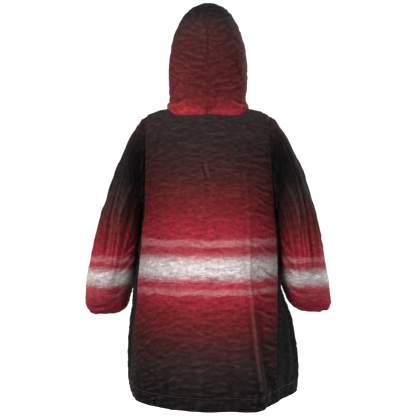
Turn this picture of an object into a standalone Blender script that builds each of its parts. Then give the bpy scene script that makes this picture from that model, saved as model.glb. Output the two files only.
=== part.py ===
"""Oversized pull-on hoodie in brushed fleece, filled out as worn, with no wearer.

Metres, +Z up. The wearer faces -Y, so the back lies at +Y and the left side at +X.
The origin is where the shoulders hold it up: on the centre line, at the level of the side neck.
Each cut piece is a closed wall of cloth, a hair's breadth from the pieces it is sewn to.
"""
import math
from collections import namedtuple

import bmesh
import bpy
from mathutils import Vector

for old_object in list(bpy.data.objects):
    bpy.data.objects.remove(old_object, do_unlink=True)

# Cloth and making up
CLOTH = 0.003                 # thickness of the brushed fleece
TURNING = 0.0015              # what the turned hem adds on the inside
HEM_BAND = 0.035              # height of the turned hem
SEAM_GAP = 0.0003             # between two pieces at a seam

# Neck and shoulders
NECK_HALF_WIDTH = 0.125
NECK_HALF_DEPTH = 0.100
NECK_BACK_DROP = 0.020
NECK_FRONT_DROP = 0.058
NECK_SIDE_RISE = 0.045        # how far the neckline climbs over the shoulders
NECK_SIDE_SHARPNESS = 6       # how late it climbs
SHOULDER_X = 0.187            # armhole seam, measured from the centre line
SHOULDER_DROP = 0.015
SHOULDER_ROUND = 0.110        # drop over which a shoulder turns from flat to upright
NECK_SHARE = 0.6              # share of a panel's top edge that is neckline
ARMPIT_DROP = 0.300
HEM_DROP = 0.853
HEM_DIP = 0.009               # lower at the back, higher at the front

# Facets
SHOULDER_ROWS = 4
CHEST_ROWS = 5
SKIRT_ROWS = 14
NECK_COLUMNS = 8              # for each half of a panel's neckline
SHOULDER_COLUMNS = 5
GORE_COLUMNS = 4
HOOD_COLUMNS = 16
HOOD_ROWS = 18
SLEEVE_RINGS = 18
CUFF_RINGS = 3

# Girth of the body by its drop below the neck: half widths from the centre line, depths from the
# middle line, and the seams as angles round the body from the centre of the back.
Girth = namedtuple("Girth", "place left right back front middle"
                            " back_left back_right front_left front_right")
BODY = (
    Girth(0.000, 0.246, 0.246, 0.112, 0.102, 0.000, 49.5, 49.5, 130.5, 130.5),
    Girth(0.100, 0.240, 0.240, 0.126, 0.116, 0.000, 51.3, 51.5, 128.7, 128.5),
    Girth(0.200, 0.222, 0.228, 0.137, 0.128, 0.000, 57.8, 57.0, 122.5, 123.0),
    Girth(0.300, 0.2035, 0.211, 0.150, 0.140, -0.002, 70.0, 71.0, 110.0, 110.0),
    Girth(0.350, 0.208, 0.216, 0.155, 0.147, -0.004, 71.0, 71.0, 111.0, 110.0),
    Girth(0.400, 0.213, 0.2185, 0.160, 0.155, -0.006, 71.0, 72.0, 112.0, 109.5),
    Girth(0.460, 0.2195, 0.2185, 0.167, 0.166, -0.009, 70.5, 74.0, 114.0, 109.0),
    Girth(0.520, 0.2265, 0.222, 0.177, 0.174, -0.012, 69.5, 71.5, 116.0, 108.0),
    Girth(0.565, 0.2315, 0.234, 0.189, 0.180, -0.015, 67.5, 63.0, 118.0, 107.0),
    Girth(0.620, 0.2375, 0.253, 0.203, 0.187, -0.018, 67.5, 56.0, 120.0, 105.0),
    Girth(0.700, 0.2440, 0.267, 0.225, 0.195, -0.022, 68.0, 51.0, 123.0, 104.0),
    Girth(0.780, 0.2450, 0.2755, 0.250, 0.202, -0.028, 69.0, 48.0, 125.0, 103.0),
    Girth(0.862, 0.2400, 0.272, 0.275, 0.210, -0.035, 70.5, 47.5, 126.0, 102.0),
)

# Soft folds that run down the body: angle at the top and at the hem, spread in degrees, the drops
# where it starts and where it is full, and its height, outwards or inwards.
Fold = namedtuple("Fold", "angle_top angle_hem spread start full height")
BODY_FOLDS = (
    Fold(-32.0, -27.0, 9.5, 0.12, 0.862, 0.034),
    Fold(-54.0, -60.0, 13.0, 0.46, 0.862, -0.020),
    Fold(-92.0, -95.0, 13.0, 0.56, 0.862, 0.006),
    Fold(18.0, 16.0, 12.0, 0.42, 0.862, -0.005),
    Fold(48.0, 52.0, 12.0, 0.40, 0.862, 0.008),
    Fold(98.0, 100.0, 13.0, 0.60, 0.862, -0.008),
    Fold(146.0, 150.0, 10.0, 0.30, 0.862, 0.020),
    Fold(168.0, 171.0, 9.0, 0.36, 0.862, -0.016),
    Fold(-164.0, -160.0, 11.0, 0.26, 0.862, 0.018),
    Fold(-140.0, -136.0, 12.0, 0.40, 0.862, -0.014),
)

# Sleeve by stations from the armhole to the cuff: its outer and inner side seen from behind, on
# the left and where the right differs, the middle of its depth, half its depth, how far it tips
# forward, and how square it is.
Station = namedtuple("Station", "place outer_x outer_right outer_z inner_x inner_right inner_z"
                                " y depth tilt square")
SLEEVE = (
    Station(1, 0.2017, 0.2017, -0.0270, 0.2058, 0.2133, -0.3040, -0.003, 0.086, 0.0, 3.0),
    Station(2, 0.2185, 0.2185, -0.0535, 0.2066, 0.2140, -0.3085, -0.003, 0.090, 0.0, 2.8),
    Station(3, 0.2400, 0.2430, -0.0880, 0.2074, 0.2150, -0.3160, -0.003, 0.093, 0.0, 2.6),
    Station(4, 0.2680, 0.2790, -0.1615, 0.2087, 0.2168, -0.3310, -0.003, 0.095, 2.0, 2.4),
    Station(5, 0.2965, 0.3045, -0.2350, 0.2107, 0.2187, -0.3530, -0.004, 0.094, 5.0, 2.2),
    Station(6, 0.3240, 0.3265, -0.3080, 0.2140, 0.2207, -0.3850, -0.008, 0.091, 10.0, 2.1),
    Station(7, 0.3460, 0.3460, -0.3820, 0.2185, 0.2212, -0.4250, -0.018, 0.087, 16.0, 2.0),
    Station(8, 0.3640, 0.3600, -0.4480, 0.2240, 0.2215, -0.4680, -0.035, 0.083, 24.0, 2.0),
    Station(9, 0.3780, 0.3735, -0.5080, 0.2305, 0.2260, -0.5120, -0.058, 0.079, 33.0, 2.1),
    Station(10, 0.3870, 0.3830, -0.5620, 0.2400, 0.2390, -0.5550, -0.085, 0.072, 42.0, 2.4),
    Station(11, 0.3875, 0.3850, -0.5850, 0.2540, 0.2550, -0.5780, -0.110, 0.060, 51.0, 2.6),
    Station(12, 0.3710, 0.3670, -0.5870, 0.2710, 0.2700, -0.5830, -0.132, 0.049, 59.0, 2.3),
    Station(13, 0.3600, 0.3560, -0.5790, 0.2800, 0.2760, -0.5770, -0.145, 0.041, 65.0, 2.0),
)
RIGHT_SLEEVE_LIFT = 0.005     # the right sleeve ends this much higher

# Soft folds along a sleeve: angle round it from the outer side by way of the back, spread,
# the stations it runs between, and its height.
SleeveFold = namedtuple("SleeveFold", "angle spread start end height")
SLEEVE_FOLDS = (
    SleeveFold(50.0, 12.0, 3.5, 10.5, 0.005),
    SleeveFold(68.0, 11.0, 2.5, 9.5, -0.005),
    SleeveFold(90.0, 13.0, 2.0, 10.5, 0.006),
    SleeveFold(118.0, 14.0, 2.0, 9.0, -0.006),
    SleeveFold(146.0, 12.0, 3.0, 9.5, 0.004),
    SleeveFold(238.0, 13.0, 3.0, 10.0, 0.005),
    SleeveFold(266.0, 13.0, 3.0, 9.5, -0.006),
    SleeveFold(300.0, 13.0, 3.5, 10.5, 0.005),
)

CUFF_LENGTH = 0.060
CUFF_TIP = 67.0               # degrees that a cuff points forward from straight down
CUFF_SPREAD = 1.03            # the knit opens a little at its edge

# Hood by stations along its centre seam, from the back of the neck over the crown to the face
# edge: the seam's place seen from the side, and the hood's half width there.
Crown = namedtuple("Crown", "place y z half_width")
HOOD = (
    Crown(0.00, 0.1000, -0.0197, 0.1250),
    Crown(0.05, 0.1090, 0.0080, 0.1215),
    Crown(0.10, 0.1120, 0.0350, 0.1165),
    Crown(0.16, 0.1220, 0.0700, 0.1170),
    Crown(0.28, 0.1370, 0.1350, 0.1180),
    Crown(0.40, 0.1380, 0.2000, 0.1180),
    Crown(0.52, 0.1180, 0.2600, 0.1180),
    Crown(0.64, 0.0730, 0.3060, 0.1180),
    Crown(0.76, 0.0110, 0.3263, 0.1170),
    Crown(0.88, -0.0550, 0.3180, 0.1130),
    Crown(1.00, -0.1180, 0.2950, 0.1060),
)
THROAT_TOP_Y = -0.126
THROAT_TOP_Z = -0.012
FACE_HOLLOW = 0.016           # the face edge curves back at the cheeks
HOOD_TURNING_SHARE = 0.92     # from here to the face edge the hood is turned in


def along(table, column, place):
    """A column's value at any place between a table's rows, on a smooth curve through them."""
    places = [row.place for row in table]
    values = [getattr(row, column) for row in table]
    last = len(places) - 1
    slopes = []
    for i in range(last + 1):
        low = max(i - 1, 0)
        high = min(i + 1, last)
        slopes.append((values[high] - values[low]) / (places[high] - places[low]))
    if place <= places[0]:
        return values[0] + slopes[0] * (place - places[0])
    if place >= places[last]:
        return values[last] + slopes[last] * (place - places[last])
    i = 0
    while places[i + 1] < place:
        i += 1
    span = places[i + 1] - places[i]
    t = (place - places[i]) / span
    start = (1 + 2 * t) * (1 - t) ** 2 * values[i] + t * (1 - t) ** 2 * span * slopes[i]
    end = t * t * (3 - 2 * t) * values[i + 1] - t * t * (1 - t) * span * slopes[i + 1]
    return start + end


def ease(low, high, value):
    """0 below low, 1 above high, and a smooth rise between them."""
    t = min(max((value - low) / (high - low), 0.0), 1.0)
    return t * t * (3 - 2 * t)


def hump(offset, spread):
    """Height of a soft fold at an angle off its crest, with angles taken round the circle."""
    offset = (offset + 180.0) % 360.0 - 180.0
    return math.exp(-(offset / spread) ** 2)


def neckline(share):
    """Neck seam from the centre back (0) over the left shoulder (0.5) to the centre front (1)."""
    turn = math.pi * share
    forward = (1 - math.cos(turn)) / 2
    level = -NECK_BACK_DROP + (NECK_BACK_DROP - NECK_FRONT_DROP) * forward
    return Vector((NECK_HALF_WIDTH * math.sin(turn),
                   NECK_HALF_DEPTH * math.cos(turn),
                   level + NECK_SIDE_RISE * math.sin(turn) ** NECK_SIDE_SHARPNESS))


def body_round(angle, drop):
    """Point of the body's outer surface at an angle from the centre back, before the shoulders."""
    turn = math.radians(angle)
    half_width = along(BODY, "left" if angle >= 0 else "right", drop)
    depth = along(BODY, "back" if abs(angle) <= 90 else "front", drop)
    point = Vector((half_width * math.sin(turn),
                    along(BODY, "middle", drop) + depth * math.cos(turn), -drop))
    outward = Vector((math.sin(turn) / half_width, math.cos(turn) / depth, 0)).normalized()
    for fold in BODY_FOLDS:
        grown = ease(fold.start, fold.full * 1.15, drop) ** 1.2 / ease(0, 1.15, 1.0) ** 1.2
        sweep = ease(0, fold.full, drop)
        crest = fold.angle_top + (fold.angle_hem - fold.angle_top) * sweep
        point += outward * (fold.height * grown * hump(angle - crest, fold.spread))
    return point


def hem_drop(angle):
    """Drop of the hem at an angle from the centre back."""
    return HEM_DROP + HEM_DIP * math.cos(math.radians(angle))


def skirt_point(angle_at, row):
    """Point between armpit and hem, where angle_at gives the angle at a drop."""
    share = (row - SHOULDER_ROWS - CHEST_ROWS) / SKIRT_ROWS
    drop = ARMPIT_DROP + (hem_drop(angle_at(HEM_DROP)) - ARMPIT_DROP) * share
    return body_round(angle_at(drop), drop)


def panel_point(face, across, row):
    """Point of the back (face 1) or front (face -1) panel; across runs from -1 right to 1 left."""
    side = "left" if across >= 0 else "right"

    def angle_at(drop):
        if face > 0:
            return across * along(BODY, "back_" + side, drop)
        inward = abs(across) * (180.0 - along(BODY, "front_" + side, drop))
        return math.copysign(180.0 - inward, across)

    if row > SHOULDER_ROWS + CHEST_ROWS:
        return skirt_point(angle_at, row)
    reach = abs(across)
    if reach <= NECK_SHARE:
        share = 0.5 * reach / NECK_SHARE
        top = neckline(share if face > 0 else 1 - share)
    else:
        neck = neckline(0.5)
        t = (reach - NECK_SHARE) / (1 - NECK_SHARE)
        slope = t * t * 0.45 + t * 0.55
        top = Vector((neck.x + (SHOULDER_X - neck.x) * t, 0,
                      neck.z - (SHOULDER_DROP + neck.z) * slope))
    top.x = math.copysign(top.x, across)
    turn = math.pi / 2 * min(row / SHOULDER_ROWS, 1.0)
    drop = -top.z + SHOULDER_ROUND * (1 - math.cos(turn))
    if row > SHOULDER_ROWS:
        drop += (ARMPIT_DROP - drop) * (row - SHOULDER_ROWS) / CHEST_ROWS
    target = body_round(angle_at(drop), drop)
    return Vector((top.x + (target.x - top.x) * (1 - math.cos(turn)),
                   top.y + (target.y - top.y) * math.sin(turn), -drop))


def gore_point(side, across, row):
    """Point of a side gore; across runs from 0 at the back seam to 1 at the front seam."""
    name = "left" if side > 0 else "right"

    def angle_at(drop):
        back = along(BODY, "back_" + name, drop)
        front = along(BODY, "front_" + name, drop)
        return side * (back + (front - back) * across)

    return skirt_point(angle_at, row)


def hood_point(side, round_share, rise):
    """Point of a hood half: round_share from the centre seam to the throat, rise from the neck."""
    turn = math.pi * round_share
    forward = (1 - math.cos(turn)) / 2
    back = Vector((0, along(HOOD, "y", rise), along(HOOD, "z", rise)))
    low = neckline(1.0)
    throat = Vector((0, low.y + (THROAT_TOP_Y - low.y) * rise,
                     low.z + SEAM_GAP + (THROAT_TOP_Z - low.z) * rise))
    point = back.lerp(throat, forward)
    point.z += NECK_SIDE_RISE * (1 - rise) ** 3 * math.sin(turn) ** NECK_SIDE_SHARPNESS
    point.y += FACE_HOLLOW * rise ** 4 * math.sin(turn) ** 2
    point.x = side * (SEAM_GAP / 2 + along(HOOD, "half_width", rise) * math.sin(turn))
    return point


def sleeve_station(side, place):
    """The sleeve's section at a place, as its middle, its outward half and its backward half."""
    row = Station(place, *(along(SLEEVE, name, place) for name in Station._fields[1:]))
    outer = Vector((row.outer_x, 0, row.outer_z))
    inner = Vector((row.inner_x, 0, row.inner_z))
    if side < 0:
        lift = RIGHT_SLEEVE_LIFT * ease(1, 10, place)
        outer = Vector((row.outer_right, 0, row.outer_z + lift))
        inner = Vector((row.inner_right, 0, row.inner_z + lift))
    tilt = math.radians(row.tilt)
    middle = (outer + inner) / 2 + Vector((0, row.y, 0))
    outward = (outer - inner) / 2
    backward = Vector((0, math.cos(tilt), -math.sin(tilt))) * row.depth
    return middle, outward, backward, row.square


def sleeve_point(side, angle, place):
    """Point of a sleeve at an angle from its outer side, by way of the back."""
    middle, outward, backward, square = sleeve_station(side, place)
    turn = math.radians(angle)
    across = math.copysign(abs(math.cos(turn)) ** (2 / square), math.cos(turn))
    depth = math.copysign(abs(math.sin(turn)) ** (2 / square), math.sin(turn))
    swell = 1.0
    for fold in SLEEVE_FOLDS:
        grown = ease(fold.start, fold.start + 2.5, place) * (1 - ease(fold.end - 2.5, fold.end, place))
        swell += fold.height / backward.length * grown * hump(angle - fold.angle, fold.spread)
    point = middle + (outward * across + backward * depth) * swell
    point.x *= side
    return point


def facing(point_at, u, v, step_u, step_v, outside):
    """Unit normal of a surface given by point_at(u, v), on the side that outside points to."""
    along_u = point_at(u + step_u, v) - point_at(u - step_u, v)
    along_v = point_at(u, v + step_v) - point_at(u, v - step_v)
    normal = along_u.cross(along_v).normalized()
    return normal if normal.dot(outside) >= 0 else -normal


def add_wall(name, outer, inner, closed, colour, roughness):
    """A closed wall between two nets of points, each a list of rows, and its material."""
    mesh = bmesh.new()
    nets = [[[mesh.verts.new(point) for point in row] for row in net] for net in (outer, inner)]
    rows = len(outer)
    columns = len(outer[0])
    spans = columns if closed else columns - 1
    for net in nets:
        for i in range(rows - 1):
            for j in range(spans):
                k = (j + 1) % columns
                mesh.faces.new((net[i][j], net[i][k], net[i + 1][k], net[i + 1][j]))
    outside, inside = nets
    for i in (0, rows - 1):
        for j in range(spans):
            k = (j + 1) % columns
            mesh.faces.new((outside[i][j], outside[i][k], inside[i][k], inside[i][j]))
    if not closed:
        for j in (0, columns - 1):
            for i in range(rows - 1):
                mesh.faces.new((outside[i][j], outside[i + 1][j], inside[i + 1][j], inside[i][j]))
    bmesh.ops.recalc_face_normals(mesh, faces=mesh.faces)
    bmesh.ops.triangulate(mesh, faces=mesh.faces, quad_method="SHORT_EDGE")
    data = bpy.data.meshes.new(name)
    mesh.to_mesh(data)
    mesh.free()
    data.shade_smooth()
    data.set_sharp_from_angle(angle=math.radians(60))
    piece = bpy.data.objects.new(name, data)
    bpy.context.scene.collection.objects.link(piece)
    finish = bpy.data.materials.new(name)
    finish.use_nodes = True
    surface = finish.node_tree.nodes["Principled BSDF"]
    surface.inputs["Base Color"].default_value = (*colour, 1)
    surface.inputs["Roughness"].default_value = roughness
    surface.inputs["Metallic"].default_value = 0.0
    data.materials.append(finish)
    return piece


def cloth_at(drop, angle):
    """Thickness of the cloth, which is turned in at the hem."""
    return CLOTH + (TURNING if drop > hem_drop(angle) - HEM_BAND else 0.0)


def body_net(point_at, across_places, rows):
    """Outer and inner points of a body piece; point_at(across, row) gives the outer surface."""
    outer = []
    inner = []
    for row in rows:
        outer.append([point_at(across, row) for across in across_places])
        line = []
        for across, point in zip(across_places, outer[-1]):
            away = Vector((point.x, point.y, 0.3 if row < SHOULDER_ROWS + CHEST_ROWS else 0.0))
            low_row = max(row, 0.02)
            normal = facing(point_at, across, low_row, 0.002, 0.01, away)
            angle = math.degrees(math.atan2(point.x, point.y))
            line.append(point - normal * cloth_at(-point.z, angle))
        inner.append(line)
    return outer, inner


def panel_columns():
    """Places across a panel, with a column at each end of the neckline."""
    half = [NECK_SHARE * i / NECK_COLUMNS for i in range(NECK_COLUMNS + 1)]
    half += [NECK_SHARE + (1 - NECK_SHARE) * i / SHOULDER_COLUMNS
             for i in range(1, SHOULDER_COLUMNS + 1)]
    half[-1] -= SEAM_GAP / 2 / SHOULDER_X
    return [-place for place in reversed(half[1:])] + half


def build_body():
    """The front and back panels and the side gores; gives back their nets for the sleeves."""
    last = SHOULDER_ROWS + CHEST_ROWS + SKIRT_ROWS
    edge_row = SHOULDER_ROWS * SEAM_GAP / 2 / NECK_HALF_DEPTH
    nets = {}
    for name, face in (("back_panel", 1), ("front_panel", -1)):
        def point_at(across, row, face=face):
            return panel_point(face, across, row)

        rows = [edge_row] + list(range(1, last + 1))
        nets[name] = body_net(point_at, panel_columns(), rows)
        add_wall(name, *nets[name], False, (0.20, 0.02, 0.025), 0.95)
    for name, side in (("side_gore_left", 1), ("side_gore_right", -1)):
        def point_at(across, row, side=side):
            return gore_point(side, across, row)

        first = SHOULDER_ROWS + CHEST_ROWS
        trim = SEAM_GAP / 2 / 0.1
        places = [trim + (1 - 2 * trim) * i / GORE_COLUMNS for i in range(GORE_COLUMNS + 1)]
        nets[name] = body_net(point_at, places, list(range(first, last + 1)))
        add_wall(name, *nets[name], False, (0.02, 0.018, 0.018), 0.95)
    return nets


def armhole(nets, side):
    """Outer points of an armhole from the shoulder down the back and up the front, with inwards."""
    column = -1 if side > 0 else 0
    gore = nets["side_gore_left" if side > 0 else "side_gore_right"]
    depth = SHOULDER_ROWS + CHEST_ROWS
    loop = []
    for name, rows in (("back_panel", range(0, depth + 1)), ("front_panel", range(depth, 0, -1))):
        outer, inner = nets[name]
        for row in rows:
            loop.append((outer[row][column], inner[row][column] - outer[row][column]))
        if name == "back_panel":
            for place in range(1, GORE_COLUMNS):
                loop.append((gore[0][0][place], gore[1][0][place] - gore[0][0][place]))
    return loop


def build_sleeve(side, nets):
    """A sleeve from its armhole to the cuff seam; gives back the angles round it."""
    name = "sleeve_left" if side > 0 else "sleeve_right"
    loop = armhole(nets, side)
    lows = min(point.z for point, inward in loop)
    highs = max(point.z for point, inward in loop)
    half_height = (highs - lows) / 2
    half_depth = max(abs(point.y) for point, inward in loop)
    angles = []
    for point, inward in loop:
        upward = (point.z - (highs + lows) / 2) / half_height
        angles.append(math.degrees(math.atan2(point.y / half_depth, upward)) % 360.0)
    angles[0] = 0.0
    shift = Vector((side * SEAM_GAP, 0, 0))
    first = [point + shift for point, inward in loop]
    first[0].y = 0.0
    outer = [first]
    last = SLEEVE[-1].place
    places = [1 + (last - 1) * i / SLEEVE_RINGS for i in range(SLEEVE_RINGS + 1)]
    outer += [[sleeve_point(side, angle, place) for angle in angles] for place in places]

    def point_at(angle, place):
        return sleeve_point(side, angle, place)

    inner = []
    for place in places:
        middle, outward, backward, square = sleeve_station(side, place)
        middle.x *= side
        outward.x *= side
        ahead = outward.cross(backward).normalized()
        line = []
        for angle, point in zip(angles, outer[len(inner) + 1]):
            normal = facing(point_at, angle, place, 1.0, 0.05, point - middle)
            if place == last:
                normal = (normal - ahead * normal.dot(ahead)).normalized()
            line.append(point - normal * CLOTH)
        inner.append(line)
    line = []
    for i, (point, inward) in enumerate(loop):
        ahead = first[(i + 1) % len(first)] - first[i - 1]
        out = outer[1][i] - first[i]
        own = ahead.cross(out).normalized() * CLOTH
        centre = Vector((point.x, 0, (highs + lows) / 2))
        if own.dot(centre - first[i]) < 0:
            own = -own
        line.append(first[i] + (own if side * own.x > side * inward.x else inward))
    inner.insert(0, line)
    add_wall(name, outer, inner, True, (0.20, 0.02, 0.025), 0.95)
    return angles


def build_cuff(side, angles):
    """A knitted cuff on the end of a sleeve, pointing forward."""
    name = "cuff_left" if side > 0 else "cuff_right"
    last = SLEEVE[-1].place
    middle, outward, backward, square = sleeve_station(side, last)
    tip = math.radians(CUFF_TIP)
    down = Vector((0, -math.sin(tip), -math.cos(tip)))
    outer = []
    inner = []
    for i in range(CUFF_RINGS + 1):
        share = i / CUFF_RINGS
        spread = 1 + (CUFF_SPREAD - 1) * share
        shift = down * (2 * SEAM_GAP + CUFF_LENGTH * share)
        rings = []
        for lessen in (0.0, CLOTH):
            ring = []
            for angle in angles:
                turn = math.radians(angle)
                wide = outward * (1 - lessen / outward.length) * math.cos(turn)
                deep = backward * (1 - lessen / backward.length) * math.sin(turn)
                point = middle + shift + (wide + deep) * spread
                point.x *= side
                ring.append(point)
            rings.append(ring)
        outer.append(rings[0])
        inner.append(rings[1])
    add_wall(name, outer, inner, True, (0.02, 0.018, 0.018), 0.9)


def build_hood(side):
    """One half of the hood, from the centre seam round to the throat."""
    name = "hood_left" if side > 0 else "hood_right"

    def point_at(round_share, rise):
        return hood_point(side, round_share, rise)

    shares = [i / HOOD_COLUMNS for i in range(HOOD_COLUMNS + 1)]
    outer = []
    inner = []
    for i in range(HOOD_ROWS + 1):
        rise = i / HOOD_ROWS
        outer.append([point_at(share, rise) for share in shares])
        line = []
        for share, point in zip(shares, outer[-1]):
            normal = facing(point_at, share, rise, 0.004, 0.004, point - Vector((0, 0, 0.12)))
            if share in (0.0, 1.0):
                normal.x = 0
            if i == 0:
                normal.z = 0
            thickness = CLOTH + (TURNING if rise > HOOD_TURNING_SHARE else 0.0)
            line.append(point - normal.normalized() * thickness)
        inner.append(line)
    add_wall(name, outer, inner, False, (0.20, 0.02, 0.025), 0.95)


body_nets = build_body()
for wearer_side in (1, -1):
    ring_angles = build_sleeve(wearer_side, body_nets)
    build_cuff(wearer_side, ring_angles)
    build_hood(wearer_side)
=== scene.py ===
"""Looks of an oversized pull-on hoodie in dip-dyed brushed fleece, filled out as worn.

Metres, +Z up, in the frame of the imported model: the wearer faces -Y, the left side is at +X.
"""
import math
from collections import namedtuple

import bmesh
import bpy
import numpy as np
from mathutils import Matrix, Vector


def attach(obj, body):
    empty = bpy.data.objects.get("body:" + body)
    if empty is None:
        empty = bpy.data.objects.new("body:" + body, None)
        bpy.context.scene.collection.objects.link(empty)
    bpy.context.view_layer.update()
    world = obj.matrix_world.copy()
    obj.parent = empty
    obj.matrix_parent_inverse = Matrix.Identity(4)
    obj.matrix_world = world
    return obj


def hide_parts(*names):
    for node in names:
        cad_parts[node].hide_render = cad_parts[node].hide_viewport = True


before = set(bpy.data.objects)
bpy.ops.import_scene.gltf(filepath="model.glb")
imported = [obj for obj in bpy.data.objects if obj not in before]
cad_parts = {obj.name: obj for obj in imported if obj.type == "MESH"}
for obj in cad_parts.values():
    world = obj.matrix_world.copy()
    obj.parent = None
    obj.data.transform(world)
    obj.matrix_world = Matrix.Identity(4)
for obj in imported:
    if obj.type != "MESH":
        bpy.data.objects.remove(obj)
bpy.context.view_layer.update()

# Camera
# Straight behind the wearer and level with the middle of the back, as in the photograph, with its
# focal length in pixels of the square picture.
PICTURE = 416
FOCUS = 818.0
CAMERA_AWAY = 2.5
CAMERA_HEIGHT = -0.296

camera = bpy.data.objects.new("camera", bpy.data.cameras.new("camera"))
bpy.context.scene.collection.objects.link(camera)
camera.data.lens = FOCUS / PICTURE * camera.data.sensor_width
camera.location = (0.0, CAMERA_AWAY, CAMERA_HEIGHT)
camera.rotation_euler = (math.radians(90), 0.0, math.radians(180))
bpy.context.scene.camera = camera

# Back and front panels
# Two broad pieces of fleece, joined over the shoulders and turned up at the hem. Each lies on its
# solid's form, with the deep folds of the solid and the shallow creases that the cloth has hung into.
NECK_HALF_WIDTH = 0.125
NECK_HALF_DEPTH = 0.100
NECK_BACK_DROP = 0.020
NECK_FRONT_DROP = 0.058
NECK_SIDE_RISE = 0.045
NECK_SIDE_SHARPNESS = 6
SHOULDER_X = 0.187
SHOULDER_DROP = 0.015
SHOULDER_ROUND = 0.110
SHOULDER_BEND = 0.45          # share of the shoulder's slope that steepens outward
NECK_SHARE = 0.6              # share of a panel's half that lies along the neck
ARMPIT_DROP = 0.300
HEM_DROP = 0.853
HEM_DIP = 0.009
SHOULDER_ROWS = 4
CHEST_ROWS = 5
SKIRT_ROWS = 14

CLOTH = 0.0021                # thickness of the fleece
FOLD_HALF = 0.0022            # half of what a turned edge is thick
HEM_BAND = 0.035
SEAM_GAP = 0.0003
SEAM_SINK = 0.0016            # how far the cloth dips at a seam
SEAM_PUCKER = 0.0011
SEAM_LAP = 0.0008             # how far a seam's two allowances press into each other
ALLOWANCE_DEPTHS = (0.0018, 0.0040, 0.0070)
HEM_TRIM = 0.055              # share of a skirt row that the hem's rounding takes
WALL_CLAMP = 1.8              # thins the hidden side where the net is finer than the cloth
NECK_THIN = (0.045, 0.080)    # the hidden side also thins this near to the sides of the neck
NECK_WALL = 0.12              # share of the cloth's thickness that is left there
LEVEL_LEAN = 0.4              # how far level wrinkles follow the cloth over the shoulders
SEAM_HOLD = 0.010             # creases fade out this near to a seam
SHOULDER_HOLD = 0.12          # share of a panel's half over which the shoulder seam sets in
CREST_REACH = 2               # steps of the net over which a crest or a trough is judged
CREST_HEIGHT = 0.0028         # one that stands this far out gets the palest painted highlight, one sunk as far the darkest painted shade


def rows_of(kind, rows):
    """A table's rows, with the columns named."""
    return tuple(kind(*row) for row in rows)


# Girth of the body by its drop below the neck, as in the solids: half widths, depths, and the
# seams as angles round the body from the centre of the back.
Girth = namedtuple("Girth", "place left right back front middle"
                            " back_left back_right front_left front_right")
BODY = rows_of(Girth, (
    (0.0, 0.246, 0.246, 0.112, 0.102, 0.0, 49.5, 49.5, 130.5, 130.5),
    (0.1, 0.24, 0.24, 0.126, 0.116, 0.0, 51.3, 51.5, 128.7, 128.5),
    (0.2, 0.222, 0.228, 0.137, 0.128, 0.0, 57.8, 57.0, 122.5, 123.0),
    (0.3, 0.2035, 0.211, 0.15, 0.14, -0.002, 70.0, 71.0, 110.0, 110.0),
    (0.35, 0.208, 0.216, 0.155, 0.147, -0.004, 71.0, 71.0, 111.0, 110.0),
    (0.4, 0.213, 0.2185, 0.16, 0.155, -0.006, 71.0, 72.0, 112.0, 109.5),
    (0.46, 0.2195, 0.2185, 0.167, 0.166, -0.009, 70.5, 74.0, 114.0, 109.0),
    (0.52, 0.2265, 0.222, 0.177, 0.174, -0.012, 69.5, 71.5, 116.0, 108.0),
    (0.565, 0.2315, 0.234, 0.189, 0.18, -0.015, 67.5, 63.0, 118.0, 107.0),
    (0.62, 0.2375, 0.253, 0.203, 0.187, -0.018, 67.5, 56.0, 120.0, 105.0),
    (0.7, 0.244, 0.267, 0.225, 0.195, -0.022, 68.0, 51.0, 123.0, 104.0),
    (0.78, 0.245, 0.2755, 0.25, 0.202, -0.028, 69.0, 48.0, 125.0, 103.0),
    (0.862, 0.24, 0.272, 0.275, 0.21, -0.035, 70.5, 47.5, 126.0, 102.0),
))

# Deep folds that run down the body, as in the solids.
FOLD_REACH = 1.15             # its curve ends this much lower, so that it still rises at the hem
FOLD_GROWTH = 1.2             # above 1 it starts slowly
Fold = namedtuple("Fold", "angle_top angle_hem spread start full height")
BODY_FOLDS = rows_of(Fold, (
    (-32.0, -27.0, 9.5, 0.12, 0.862, 0.034),
    (-54.0, -60.0, 13.0, 0.46, 0.862, -0.02),
    (-92.0, -95.0, 13.0, 0.56, 0.862, 0.006),
    (18.0, 16.0, 12.0, 0.42, 0.862, -0.005),
    (48.0, 52.0, 12.0, 0.4, 0.862, 0.008),
    (98.0, 100.0, 13.0, 0.6, 0.862, -0.008),
    (146.0, 150.0, 10.0, 0.3, 0.862, 0.02),
    (168.0, 171.0, 9.0, 0.36, 0.862, -0.016),
    (-164.0, -160.0, 11.0, 0.26, 0.862, 0.018),
    (-140.0, -136.0, 12.0, 0.4, 0.862, -0.014),
))
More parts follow.
